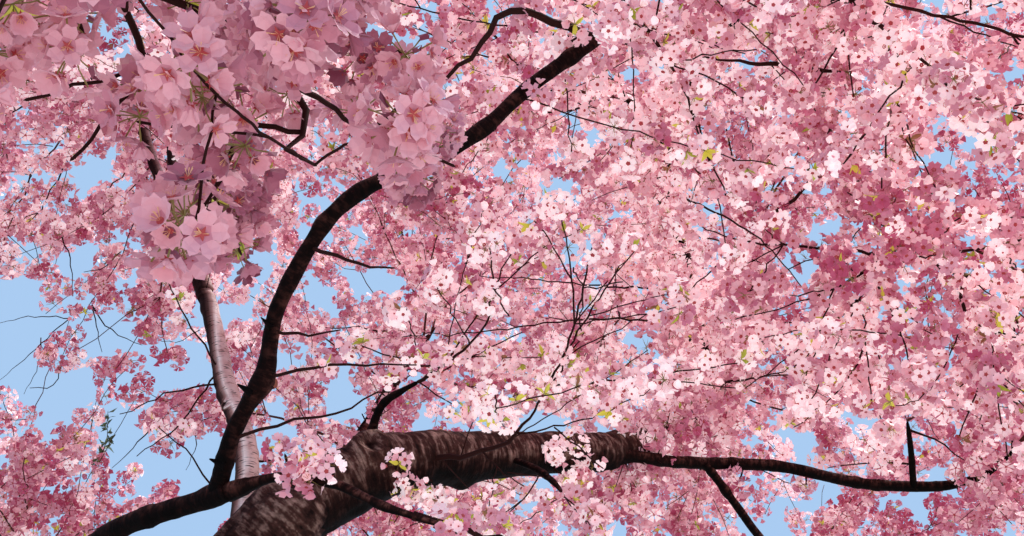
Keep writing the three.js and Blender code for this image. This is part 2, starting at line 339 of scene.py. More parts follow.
# %% The lines of the limbs
WANDER = 0.3
WANDER_LENGTH = 9
WANDER_APART = 7.3
WANDER_SEED = 4
COLLAR_SWELL = 0.22
SINK = 1.2
CARRY_ON = 1.6
BLEND_LENGTH = 5
COLLAR_LENGTH = 3
RING_SHARE, RING_RANGE = 0.35, (0.011, 0.02)

noise.seed_set(WANDER_SEED)


def wandered(line, radii, seed):
    """The line moved from side to side by a slow noise that dies away at both ends."""
    away = along_line(line)
    slow = WANDER_LENGTH * radii.mean()
    calm = np.clip(np.minimum(away, away[-1] - away) / slow, 0, 1)
    push = [noise.noise_vector(Vector((length / slow, seed * WANDER_APART, 0.5))) for length in away]
    return line + np.array(push) * (WANDER * radii * calm)[:, None]


def sunk_foot(knots, radii, carrier):
    """The limb's knots and radii with one more knot inside the limb that carries it."""
    sunk = np.linalg.norm(carrier["line"] - knots[0], axis=1).min() * SINK
    aim = knots[0] - knots[1]
    return np.vstack([knots[0] + aim / np.linalg.norm(aim) * sunk, knots]), np.append(radii[0], radii)


def swollen_foot(line, radii, carrier):
    """Radii widened at the foot, by a collar, or to the carrier's own where its tip is carried on."""
    away = along_line(line)
    tip = carrier["radii"][-1]
    if np.linalg.norm(line[0] - carrier["line"][-1]) < CARRY_ON * tip:
        blend = np.clip(1 - away / (BLEND_LENGTH * tip), 0, 1)
        blend = blend**2 * (3 - 2 * blend)
        return np.maximum(radii, radii + (tip - radii) * blend)
    return radii * (1 + COLLAR_SWELL * np.exp(-away / (COLLAR_LENGTH * radii[0])))


limbs = {}
for number, node in enumerate(limb_names):
    knots, radii, parent = follow_limb(node, limb_names[:number])
    if parent:
        knots, radii = sunk_foot(knots, radii, limbs[parent])
    spacing = float(np.clip(RING_SHARE * radii.mean(), *RING_RANGE))
    line, radii = smooth_line(knots, radii, spacing)
    if parent:
        radii = swollen_foot(line, radii, limbs[parent])
        line = wandered(line, radii, number)
    limbs[node] = {"line": line, "radii": radii, "parent": parent}
print("limbs:", {node: f"{along_line(limb['line'])[-1]:.2f} m" for node, limb in limbs.items()})

# %% [markdown]
# ## Bark finishes
#
# Old cherry bark is dark and cracked, with pale flakes along the limb. Young bark is smooth and
# satiny, and its breathing pores are short marks that run round the limb. A picture of bark would
# show its seams, so noise patterns make all of it. The flakes and pores follow the surface, so they
# read the piece's own map, in metres round and along the limb. The mottling reads object
# coordinates, so it runs through from one limb to the next.
#
# Light and shade are painted into the bark too. Every corner of the bark carries a number for this,
# named upper, which grows from its shaded lower side to its upper side, towards the sun. A colour
# ramp over that number darkens the bark's tones as painted shade, and leaves them bright as painted
# light.

# %% Helpers for shader nodes
def add_node(tree, kind, **values):
    """A shader node with its inputs set by name, and its other settings by theirs."""
    node = tree.nodes.new(kind)
    for name, value in values.items():
        if name in node.inputs:
            node.inputs[name].default_value = value
        else:
            setattr(node, name, value)
    return node


def feed(tree, value, socket):
    """Links another node's output to a socket, or sets the socket to a plain value."""
    if isinstance(value, bpy.types.NodeSocket):
        tree.links.new(value, socket)
    else:
        socket.default_value = value


def add_ramp(tree, source, stops):
    """A colour ramp over a grey source; each stop is a place from 0 to 1 and a screen colour."""
    ramp = tree.nodes.new("ShaderNodeValToRGB")
    marks = ramp.color_ramp.elements
    while len(marks) < len(stops):
        marks.new(0.5)
    for mark, (spot, colour) in zip(marks, stops):
        mark.position = spot
        mark.color = paint(*colour)
    feed(tree, source, ramp.inputs["Fac"])
    return ramp.outputs["Color"]


def add_noise(tree, source, scale, detail, roughness):
    """A noise pattern over some coordinates."""
    pattern = add_node(tree, "ShaderNodeTexNoise", Scale=scale, Detail=detail, Roughness=roughness)
    feed(tree, source, pattern.inputs["Vector"])
    return pattern.outputs["Fac"]


def add_stretch(tree, source, marks_per_metre):
    """The bark's map scaled round and along the limb, so that a pattern on it has marks of that size."""
    mapping = add_node(tree, "ShaderNodeMapping", Scale=(*marks_per_metre, 1))
    feed(tree, source, mapping.inputs["Vector"])
    return mapping.outputs["Vector"]


def add_math(tree, operation, *values):
    """The outcome of a sum or product of values and other nodes' outputs."""
    node = add_node(tree, "ShaderNodeMath", operation=operation)
    for value, socket in zip(values, node.inputs):
        feed(tree, value, socket)
    return node.outputs["Value"]


def add_mix(tree, blend_type, factor, under, over):
    """One colour laid over another. A Mix node keeps its colours in its sockets 6 and 7."""
    node = add_node(tree, "ShaderNodeMix", data_type="RGBA", blend_type=blend_type)
    for value, socket in ((factor, node.inputs[0]), (under, node.inputs[6]), (over, node.inputs[7])):
        feed(tree, value, socket)
    return node.outputs[2]


# %% Bark material
BARK_MAP = "bark"
PAINTED_LIGHT_ATTRIBUTE = "upper"
PATCH_NOISE = {"detail": 9.0, "roughness": 0.68}
FLAKE_NOISE = {"detail": 6.0, "roughness": 0.6}
PORE_NOISE = {"detail": 2.0, "roughness": 0.5}
PORES_PER_METRE = (26, 190)
TONE_STOPS = (0.38, 0.5, 0.64)
PORE_EDGE = (0.58, 0.66)
PORE_HEIGHT_SHARE = 0.35
BUMP_DEPTH = 0.01
BARK_ROUGHNESS = 0.78
SHINE = 0.08


def make_bark(name, tones, pore, mottling, flaking, pore_strength, bump, painted_light_ramp):
    """Bark of three tones in a mottled pattern, crossed by pores, with the relief of both as bump."""
    material = bpy.data.materials.new(name)
    material.use_nodes = True
    tree = material.node_tree
    shader = tree.nodes["Principled BSDF"]
    where = tree.nodes.new("ShaderNodeTexCoord").outputs["Object"]
    bark_map = add_node(tree, "ShaderNodeUVMap", uv_map=BARK_MAP).outputs["UV"]
    patches = add_noise(tree, where, mottling, **PATCH_NOISE)
    flakes = add_noise(tree, add_stretch(tree, bark_map, flaking), 1.0, **FLAKE_NOISE)
    dashes = add_noise(tree, add_stretch(tree, bark_map, PORES_PER_METRE), 1.0, **PORE_NOISE)
    pattern = add_math(tree, "MULTIPLY_ADD", flakes, 0.5, add_math(tree, "MULTIPLY", patches, 0.5))
    toned = add_ramp(tree, pattern, tuple(zip(TONE_STOPS, tones)))
    mask = add_ramp(tree, dashes, tuple(zip(PORE_EDGE, ((0, 0, 0), (pore_strength,) * 3))))
    crossed = add_mix(tree, "MIX", mask, toned, paint(*pore))
    # Painted light and shade: a ramp over each corner's number darkens the shaded side of the limb.
    painted_light_share = add_node(tree, "ShaderNodeAttribute", attribute_name=PAINTED_LIGHT_ATTRIBUTE).outputs["Fac"]
    lit_and_shaded = add_mix(tree, "MULTIPLY", 1.0, crossed, add_ramp(tree, painted_light_share, painted_light_ramp))
    feed(tree, lit_and_shaded, shader.inputs["Base Color"])
    height = add_math(tree, "MULTIPLY_ADD", mask, PORE_HEIGHT_SHARE, pattern)
    relief = add_node(tree, "ShaderNodeBump", Strength=bump, Distance=BUMP_DEPTH)
    feed(tree, height, relief.inputs["Height"])
    feed(tree, relief.outputs["Normal"], shader.inputs["Normal"])
    shader.inputs["Roughness"].default_value = BARK_ROUGHNESS
    shader.inputs["Specular IOR Level"].default_value = SHINE
    return material


# %% [markdown]
# The trunk and the great bough have old bark, thinner limbs dark young bark. The upright leader is
# as smooth and satiny as cherry bark gets, painted pale as a highlight where light would fall on it
# and painted dark as shade on its left.

# %% Bark colours
# Ramps of painted light and shade over the number named upper: dark on the shaded side and full tone on the
# sunlit side. The leader's ramp paints a highlight strip. Its tones are near white, partly for its pale
# bark and partly so that this painted highlight can show.
OLD_PAINTED_LIGHT = ((0.34, (24, 12, 11)), (0.53, (122, 102, 100)), (0.76, (255, 255, 255)))
DARK_PAINTED_LIGHT = ((0.3, (66, 50, 50)), (0.52, (160, 146, 144)), (0.78, (255, 255, 255)))
LEADER_PAINTED_LIGHT = (
    (0.25, (40, 22, 22)), (0.42, (92, 68, 66)), (0.56, (176, 146, 142)), (0.68, (255, 252, 250)),
    (0.82, (214, 188, 188)),
)
OLD_BARK = make_bark(
    "old_bark", tones=((26, 12, 10), (80, 50, 44), (186, 152, 138)), pore=(14, 6, 5), mottling=17,
    flaking=(14, 62), pore_strength=150, bump=1.0, painted_light_ramp=OLD_PAINTED_LIGHT,
)
DARK_BARK = make_bark(
    "dark_bark", tones=((16, 6, 5), (46, 22, 19), (124, 80, 71)), pore=(124, 86, 76), mottling=30,
    flaking=(24, 60), pore_strength=110, bump=0.6, painted_light_ramp=DARK_PAINTED_LIGHT,
)
LEADER_BARK = make_bark(
    "leader_bark", tones=((206, 174, 168), (246, 230, 224), (255, 250, 246)), pore=(34, 16, 15),
    mottling=14, flaking=(9, 26), pore_strength=255, bump=0.4, painted_light_ramp=LEADER_PAINTED_LIGHT,
)
CUT_WOOD = make_plain("cut_wood", (150, 84, 62), 0.7)
BARKS = [OLD_BARK, DARK_BARK, LEADER_BARK, CUT_WOOD]
print("bark finishes:", [finish.name for finish in BARKS])

# %% [markdown]
# ## Wrapping the limbs in bark
#
# A limb's bark starts as a flat grid, which one operator makes with its map. Bending the grid round
# the limb's line and joining its two edges gives a closed tube, and a relief pushes every corner in
# or out. Real geometry is better than bump here, because the limbs' outlines stand against the sky.

# %% Directions across a line
def unit(vectors):
    """The vectors made one long."""
    return vectors / np.maximum(np.linalg.norm(vectors, axis=-1, keepdims=True), 1e-12)


def frames_along(line):
    """For each point of a line, two directions across it that don't twist on the way."""
    aims = unit(np.gradient(line, axis=0))
    side = unit(np.cross(aims[0], (0.31, 0.93, 0.2)))
    sides = []
    for aim in aims:
        side = unit(side - aim * (side @ aim))
        sides.append(side)
    return np.array(sides), np.cross(aims, sides)


def rings_round(line, sides):
    """Directions from each point of a line to the corners of the ring round it."""
    turns = sides * 2 * math.pi / (sides.max() + 1)
    side, up = frames_along(line)
    return side[:, None] * np.cos(turns)[:, None] + up[:, None] * np.sin(turns)[:, None], turns


# %% [markdown]
# The relief has slow swellings and raised pores everywhere, the scars of buds on young wood, and
# ridges and cracks on old wood. Each is a noise that reads a place on a cylinder, so it closes up
# round the limb without a seam.

# %% The bark's relief
OLD_RADIUS = 0.05
SWELLING, SWELLING_LENGTH, LEAST_LENGTH = 0.09, 2.4, 0.02
PORE_MARKS, PORE_FROM, PORE_HEIGHT = (34, 120), 0.22, 0.004
SCAR_MARKS, SCAR_FROM, SCAR_SHARE = 17, 0.15, 0.5
SCAR_CHANGE, SCAR_LAYER = 400, 2.2
SMOOTH_PORE_SHARE = 0.4
RIDGE_MARKS, RIDGE_HEIGHT = (30, 9), 0.012
CRACK_MARKS, CRACK_HEIGHT = 30, 0.0045
CRACK_DETAIL = (0.9, 2.1, 4)
FULL_RELIEF_RADIUS = 0.12


def relief_at(spot, along, turn, radius, rough):
    """How far the bark stands out at a point of a limb, in metres."""
    def on_cylinder(round_marks, along_marks):
        across = math.cos(turn) * radius * round_marks, math.sin(turn) * radius * round_marks
        return noise.noise(Vector((*across, along * along_marks)))

    slow = noise.noise(spot / (SWELLING_LENGTH * radius + LEAST_LENGTH)) * SWELLING * radius
    pore = max(0.0, on_cylinder(*PORE_MARKS) - PORE_FROM) * PORE_HEIGHT
    if not rough:
        mark = noise.noise(Vector((along * SCAR_MARKS, radius * SCAR_CHANGE, SCAR_LAYER)))
        scar = max(0.0, mark - SCAR_FROM)
        return slow + SMOOTH_PORE_SHARE * pore + SCAR_SHARE * scar * radius
    ridge = abs(on_cylinder(*RIDGE_MARKS))
    crack = noise.fractal(spot * CRACK_MARKS, *CRACK_DETAIL)
    return slow + pore + (RIDGE_HEIGHT * ridge + CRACK_HEIGHT * crack) * min(1, radius / FULL_RELIEF_RADIUS)


# %% [markdown]
# Knobs, scars and stumps make each limb its own. Their places were picked as pixels of the picture,
# and each is moved onto the skin of the limb that carries it, so it sits on the limb from any side.
# Such picked things stand in tables. Each has its columns named once, and a row for each thing.

# %% Knobs and scars
def table(columns, *rows):
    """Rows of values as records with the columns' names."""
    return [dict(zip(columns.split(), row)) for row in rows]


OLD_WOOD = ["great_bough", "trunk", "great_bough_end"]
RIM_AT, RIM_WIDTH, DENT_WIDTH, DENT_DEPTH = 0.9, 0.3, 0.5, 0.5
# Painted highlight on the rims of scars and on knobs, and painted shade in the dents of scars.
PAINTED_RIM_LIGHT, PAINTED_DENT_SHADE, PAINTED_KNOB_LIGHT = 0.6, 0.8, 0.1
SEARCH_STEPS = 4
KNOBS = table(
    "limb pixel width height scar",
    ("great_bough", (371, 451), 0.058, 0.03, True),
    ("great_bough", (461, 484), 0.045, 0.028, False),
    ("great_bough", (560, 446), 0.05, 0.018, True),
    ("trunk", (300, 512), 0.07, 0.03, False),
    ("trunk", (340, 470), 0.08, 0.022, False),
    ("front_bough_rise", (265, 384), 0.03, 0.014, False),
    ("front_bough_rise", (322, 222), 0.02, 0.009, False),
    ("front_bough", (218, 474), 0.026, 0.014, False),
    ("leader", (226, 404), 0.018, 0.008, True),
)


def spot_on(nodes, pixel):
    """Where a ray through a pixel first meets some limbs, or else the point of the first nearest to it."""
    start = Vector(CAMERA_PLACE)
    ray = (Vector(from_pixel(*pixel, 1.0)) - start).normalized()
    hits = [skins[node].ray_cast(start, ray) for node in nodes]
    hits = [(hit[3], hit[0], hit[1]) for hit in hits if hit[0]]
    if hits:
        _, spot, outward = min(hits, key=lambda hit: hit[0])
        return np.array(spot), np.array(outward)
    distance = np.linalg.norm(limbs[nodes[0]]["line"].mean(axis=0) - CAMERA_PLACE)
    for step in range(SEARCH_STEPS):
        spot, outward, _, _ = skins[nodes[0]].find_nearest(start + ray * distance)
        distance = (spot - start).length
    return np.array(spot), np.array(outward)


for knob in KNOBS:
    knob["spot"], _ = spot_on(OLD_WOOD if knob["limb"] in OLD_WOOD else [knob["limb"]], knob["pixel"])
print("knobs and scars:", dict(Counter(knob["limb"] for knob in KNOBS)))


def knob_push(node, spots):
    """How far knobs lift the points of a limb's skin, and how much paler they are painted as highlight, or
    darker as painted shade in a dent.
    """
    push = np.zeros(len(spots))
    painted_paler = np.zeros(len(spots))
    for knob in KNOBS:
        if knob["limb"] == node or {knob["limb"], node} <= set(OLD_WOOD):
            near = np.linalg.norm(spots - knob["spot"], axis=1) / knob["width"]
            if knob["scar"]:
                rim, dent = np.exp(-((near - RIM_AT) / RIM_WIDTH)**2), np.exp(-(near / DENT_WIDTH)**2)
                push += knob["height"] * (rim - DENT_DEPTH * dent)
                painted_paler += PAINTED_RIM_LIGHT * rim - PAINTED_DENT_SHADE * dent
            else:
                push += knob["height"] * np.exp(-near**2)
                painted_paler += PAINTED_KNOB_LIGHT * np.exp(-near**2)
    return push, painted_paler


# %% [markdown]
# A ring's reach is the limb's radius there. The trunk isn't round at its foot, so its rings are
# measured on the frame's own skin instead. A limb that ends among the twigs thins to its tip and
# closes in a small dome. One that another limb carries on keeps its full width.

# %% The reach of the rings
SMOOTHING_PASSES = 6
TAPER_LENGTH = 0.4
TAPER_PART = 0.3
TIP_SHARE = 0.4
DOME = 1.1
DOME_DEPTH = 0.96


def trunk_radii(line, across):
    """The trunk's radius in every direction at every ring, measured on the frame and smoothed."""
    measured = np.empty(across.shape[:2])
    for ring, centre in enumerate(line):
        for side, aim in enumerate(across[ring]):
            measured[ring, side] = skins["trunk"].ray_cast(Vector(centre), Vector(aim))[3] or 0
    for ring in range(1, len(line)):
        measured[ring] = np.where(measured[ring] > 0, measured[ring], measured[ring - 1])
    measured[0] = measured[1]
    for passes in range(SMOOTHING_PASSES):
        measured = (np.roll(measured, 1, 1) + 2 * measured + np.roll(measured, -1, 1)) / 4
        measured[1:-1] = (measured[:-2] + 2 * measured[1:-1] + measured[2:]) / 4
    return measured


def carries_on(limb):
    """Whether a limb starts at the tip of the limb that carries it."""
    carrier = limbs.get(limb["parent"])
    if not carrier:
        return False
    return np.linalg.norm(limb["line"][0] - carrier["line"][-1]) < CARRY_ON * carrier["radii"][-1]


CARRIED_ON = {limb["parent"] for limb in limbs.values() if carries_on(limb)}
print("limbs that another carries on:", sorted(CARRIED_ON))


def ring_reach(node, across):
    """How far each corner of each ring is from the limb's line, before its relief."""
    line, radii = limbs[node]["line"], limbs[node]["radii"]
    reach = np.repeat(radii[:, None], across.shape[1], axis=1)
    if node == "trunk":
        reach[:, :-1] = trunk_radii(line, across[:, :-1])
        reach[:, -1] = reach[:, 0]
    if node not in CARRIED_ON:
        to_tip = along_line(line)[-1] - along_line(line)
        taper = min(TAPER_LENGTH, TAPER_PART * to_tip[0])
        reach *= 1 - (1 - TIP_SHARE) * np.clip(1 - to_tip / taper, 0, 1)[:, None]
        to_end = np.clip(to_tip / (DOME * radii[-1]), 0, 1)
        reach *= np.sqrt(1 - DOME_DEPTH * (1 - to_end)**2)[:, None]
    return reach


# %% [markdown]
# All limbs that spring from one limb at the trunk are its family, and a family is one piece. The
# number for painted light and shade is worked out here too. It grows towards the sun's side, ridges
# and the rims of scars get painted highlights, and cracks and dents get painted shade. The crown
# shades the leader's upper part, which is painted darker from a height that was picked in the picture.

# %% Lift and painted light of the corners
# Painted light and shade come from this side, which points up and to the right, towards the sun. Each limb
# has a middle and a spread for its painted light. The trunk's is paler and narrower, so that its back isn't
# painted black, and the spur's top edge is painted lit.
PAINTED_SUN_SIDE = np.array([0.55, -0.25, 0.80])
LIMB_PAINTED_LIGHT = (0.5, 0.5)
PAINTED_LIGHT_BY_LIMB = {"trunk": (0.58, 0.16), "front_bough_spur": (0.72, 0.6)}
RIDGE_PAINTED_LIGHT = 16
LEADER_SHADE = {"full": 300, "none": 345, "darker": 0.3}


def family_of(node):
    """The limb that a limb springs from at the trunk, and the trunk for itself."""
    while limbs[node]["parent"] not in (None, "trunk"):
        node = limbs[node]["parent"]
    return node


def lift_and_painted_light(node, spots, across, turns):
    """How far the relief lifts each corner of a limb, and its number for painted light and shade."""
    radii, away = limbs[node]["radii"], along_line(limbs[node]["line"])
    rough = radii.max() > OLD_RADIUS
    lift = np.array([
        [relief_at(Vector(spot), away[ring], turn, radii[ring], rough) for spot, turn in zip(row, turns)]
        for ring, row in enumerate(spots)
    ])
    push, painted_paler = knob_push(node, spots.reshape(-1, 3))
    if family_of(node) == "leader":
        height = to_pixels(spots.reshape(-1, 3))[1]
        shade = (LEADER_SHADE["none"] - height) / (LEADER_SHADE["none"] - LEADER_SHADE["full"])
        painted_paler -= LEADER_SHADE["darker"] * np.clip(shade, 0, 1)
    # Painted highlight on the ridges of old bark, and painted shade in its cracks and hollows.
    painted_paler += RIDGE_PAINTED_LIGHT * (lift - lift.mean()).ravel() * rough
    middle, spread = PAINTED_LIGHT_BY_LIMB.get(node, LIMB_PAINTED_LIGHT)
    painted_light_shares = middle + spread * across.reshape(-1, 3) @ PAINTED_SUN_SIDE + painted_paler
    return lift + push.reshape(lift.shape), painted_light_shares


# %% Wrap one limb
CORNER_SPACING = 0.015
LIMB_SIDES = (9, 64)
MAP_APART = 3.1
SEAM_GAP = 1e-6


def bark_of(node):
    """A closed tube of bark round a limb, as a bmesh with its map."""
    line, radii = limbs[node]["line"], limbs[node]["radii"]
    sides = int(np.clip(round(2 * math.pi * radii.mean() / CORNER_SPACING), *LIMB_SIDES))
    across, turns = rings_round(line, np.arange(sides + 1) % sides)
    spots = line[:, None] + across * ring_reach(node, across)[..., None]
    lift, painted_light_shares = lift_and_painted_light(node, spots, across, turns)
    spots += across * lift[..., None]
    if node == "trunk":
        spots[0, :, 2] = 0
        spots[..., 2] = np.maximum(spots[..., 2], 0)
    shape = bmesh.new()
    layer = shape.loops.layers.uv.new(BARK_MAP)
    # Each corner keeps its number for painted light and shade.
    upper = shape.verts.layers.float.new(PAINTED_LIGHT_ATTRIBUTE)
    bmesh.ops.create_grid(shape, x_segments=sides, y_segments=len(line) - 1, size=1, calc_uvs=True)
    for corner, spot, share in zip(shape.verts, spots.reshape(-1, 3), painted_light_shares):
        corner.co = spot
        corner[upper] = share
    length = along_line(line)[-1]
    for face in shape.faces:
        face.smooth = True
        for loop in face.loops:
            loop[layer].uv.x *= 2 * math.pi * radii.mean()
            loop[layer].uv.y = loop[layer].uv.y * length + limb_names.index(node) * MAP_APART
    bmesh.ops.remove_doubles(shape, verts=shape.verts, dist=SEAM_GAP)
    bmesh.ops.holes_fill(shape, edges=shape.edges, sides=0)
    return shape


# %% [markdown]
# Lost twigs leave stumps on the front bough's rise. One was cut flat and shows bare wood, and the
# others broke to a point. A cone sunk into the limb makes either, wider at its foot.

# %% Stumps of lost twigs
STUMPS = table(
    "limb pixel aim radius length cut",
    ("front_bough_rise", (267, 384), (0.9, -0.3, -0.1), 0.013, 0.022, True),
    ("front_bough_rise", (250, 392), (-0.9, -0.2, 0.5), 0.008, 0.034, False),
    ("front_bough_rise", (270, 326), (-0.8, -0.2, 0.7), 0.006, 0.030, False),
    ("front_bough_rise", (222, 464), (-0.9, -0.2, 0.3), 0.008, 0.030, False),
)
STUMP_FOOT, CUT_TOP, BROKEN_TOP = 1.5, 0.85, 0.2
STUMP_SIDES = 12


def add_stump(wood, stump):
    """The stump of a lost twig, cut flat with bare wood showing, or broken to a point."""
    spot, _ = spot_on([stump["limb"]], stump["pixel"])
    aim = Vector(stump["aim"]).normalized()
    top = CUT_TOP if stump["cut"] else BROKEN_TOP
    turn = aim.to_track_quat("Z", "Y").to_matrix().to_4x4()
    turn.translation = Vector(spot) + aim * (stump["length"] / 2 - stump["radius"] / 2)
    made = bmesh.ops.create_cone(
        wood, cap_ends=True, segments=STUMP_SIDES, radius1=STUMP_FOOT * stump["radius"],
        radius2=top * stump["radius"], depth=stump["length"] + stump["radius"], matrix=turn,
    )["verts"]
    for face in {face for corner in made for face in corner.link_faces}:
        facing = stump["cut"] and face.normal.dot(aim) > 0.9
        face.material_index = BARKS.index(CUT_WOOD if facing else DARK_BARK)


# %% Wrap each family of limbs
def bark_number(node):
    """Which finish the bark of a limb takes."""
    if family_of(node) == "leader":
        return BARKS.index(LEADER_BARK)
    return BARKS.index(OLD_BARK if limbs[node]["radii"].max() > OLD_RADIUS else DARK_BARK)


def wrap_family(family):
    """One piece of bark for a limb at the trunk and all that it carries."""
    wood = bmesh.new()
    members = [node for node in limb_names if family_of(node) == family]
    for node in members:
        shape = bark_of(node)
        for face in shape.faces:
            face.material_index = bark_number(node)
        part = bpy.data.meshes.new(node)
        shape.to_mesh(part)
        shape.free()
        wood.from_mesh(part)
        bpy.data.meshes.remove(part)
    wood.normal_update()
    for stump in STUMPS:
        if stump["limb"] in members:
            add_stump(wood, stump)
    bmesh.ops.triangulate(wood, faces=wood.faces)
    print(family, "bark:", len(wood.faces), "triangles")
    piece = place(f"{family}_bark", wood, BARKS)
    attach(piece, "root")
    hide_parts(*members)


for family in dict.fromkeys(family_of(node) for node in limb_names):
    wrap_family(family)

# %% [markdown]
# ## Growing twigs through the masses
#
# A tree spends as little wood as it can while keeping every flower's way to the trunk short. The
# growth rule below does the same: it scatters sprouts through each mass, then again and again joins
# the sprout that costs least, counting the new wood, the way back along the limb, and a share for
# each sharp turn. The picture's gaps of sky are kept free of sprouts. The spray close over the
# camera is open in more places, where the crown behind it shows.

# %% Sky gaps, as ellipses in the picture
SKY_GAPS = table(
    "middle half",
    ((12, 320), (33, 53)),
    ((60, 392), (46, 27)),
    ((122, 440), (28, 34)),
    ((190, 468), (30, 30)),
    ((113, 338), (31, 21)),
    ((66, 265), (12, 16)),
    ((575, 118), (13, 16)),
    ((932, 160), (17, 10)),
    ((705, 140), (12, 9)),
    ((376, 278), (24, 14)),
    ((815, 500), (22, 16)),
    ((345, 402), (26, 20)),
)
NEAR_GAPS = table(
    "middle half",
    ((50, 150), (98, 80)),
    ((160, 160), (46, 44)),
    ((305, 165), (58, 66)),
    ((318, 262), (50, 90)),
    ((225, 372), (150, 88)),
    ((525, 140), (80, 220)),
    ((450, 276), (80, 66)),
)


def ellipse_reach(u, v, ellipse):
    """How far pixels are from an ellipse's middle, in its half sizes, squared."""
    across = (u - ellipse["middle"][0]) / ellipse["half"][0]
    down = (v - ellipse["middle"][1]) / ellipse["half"][1]
    return across**2 + down**2


def in_sky(points, reach=1.0, gaps=SKY_GAPS):
    """Which points fall in a gap in the picture."""
    u, v, distance = to_pixels(points)
    hidden = np.zeros(len(u), bool)
    for gap in gaps:
        hidden |= ellipse_reach(u, v, gap) < reach**2
    return hidden & (distance > 0)


# %% [markdown]
# Everything is made in four grades, by how closely the camera looks at it: near, canopy, crown, and
# outer for all that lies outside the picture. Closer grades have more faces, and more and smaller
# sprouts and bunches in each cubic metre.

# %% Kinds of mass, by where the camera sees them
NEAR, CANOPY, CROWN, OUTER = range(4)
NEAR_LIMIT = 1.7
CANOPY_LIMIT = 3.8
FRAME_MARGIN = 0.08
MASS_MARGIN = 0.3
SPROUTS = {NEAR: 500, CANOPY: 150, CROWN: 40, OUTER: 26}
BUNCHES = {NEAR: 1100, CANOPY: 400, CROWN: 160, OUTER: 62}


def in_window(u, v, distance, window):
    """Which pixels, of points in front of the camera, fall inside a window of the picture."""
    left, top, right, bottom = window
    return (u > left) & (u < right) & (v > top) & (v < bottom) & (distance > 0)


def in_picture(points, margin=FRAME_MARGIN):
    """Which points the camera sees, with a margin round the picture as a share of its width."""
    u, v, distance = to_pixels(points)
    edge = margin * IMAGE_WIDTH
    return in_window(u, v, distance, (-edge, -edge, IMAGE_WIDTH + edge, IMAGE_HEIGHT + edge))


def kind_of(points, canopy_limit=CANOPY_LIMIT, margin=FRAME_MARGIN):
    """How close a look the camera gets at each point."""
    distance = np.abs(to_pixels(points)[2])
    seen = np.where(distance < canopy_limit, CANOPY, CROWN)
    return np.where(distance < NEAR_LIMIT, NEAR, np.where(in_picture(points, margin), seen, OUTER))


def volume_of(node):
    """The volume of a node in cubic metres."""
    shape = merged_copy(node)
    volume = shape.calc_volume()
    shape.free()
    return volume


masses = {}
for node in mass_names:
    middle = np.array(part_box(node)).mean(axis=0)
    masses[node] = {"kind": int(kind_of(middle, margin=MASS_MARGIN)[0]), "volume": volume_of(node)}
print("masses:", {node: (mass["kind"], round(mass["volume"], 2)) for node, mass in masses.items()})

# %% Sprouts scattered through the masses
SEED = 20
SHELL = 0.4
CORE_SHARE = 0.45
SPROUT_GAP = 0.55
LEAST_DEPTH = 0.02
TRIES = 12
GAP_SHARE = 0.9


def depth_in(node, spot):
    """How deep a point lies in a mass, or a negative depth outside it."""
    near, outward, _, gap = skins[node].find_nearest(Vector(spot))
    return gap if (Vector(spot) - near).dot(outward) < 0 else -gap


def scatter(node, mass, random):
    """Sprouts in a mass, denser near its skin, none too close to another, and none in the sky."""
    low, high = np.array(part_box(node))
    wanted = int(mass["volume"] * SPROUTS[mass["kind"]])
    apart = SPROUT_GAP / SPROUTS[mass["kind"]] ** (1 / 3)
    kept = np.empty((0, 3))
    for tries in range(wanted * TRIES):
        spot = low + (high - low) * random.random(3)
        depth = depth_in(node, spot)
        if depth < LEAST_DEPTH or (depth > SHELL and random.random() > CORE_SHARE):
            continue
        if len(kept) and np.linalg.norm(kept - spot, axis=1).min() < apart:
            continue
        kept = np.vstack([kept, spot])
        if len(kept) == wanted:
            break
    return kept[~in_sky(kept, GAP_SHARE)]


random = np.random.default_rng(SEED)
sprouts = [scatter(node, mass, random) for node, mass in masses.items()]
sprout_mass = np.concatenate([np.full(len(spots), number) for number, spots in enumerate(sprouts)])
sprouts = np.vstack(sprouts)
print(len(sprouts), "sprouts in the masses")

# %% [markdown]
# Two kinds of sprout grow outside the scatter. Limbs that the picture hides behind flowers are
# clothed in short spurs, most of them on the camera's side. And sprays hang where the picture shows
# blossom that the scatter leaves too thin, such as in the wide opening at the left. Each spray has
# a middle and a half size in pixels, and a distance from the camera.

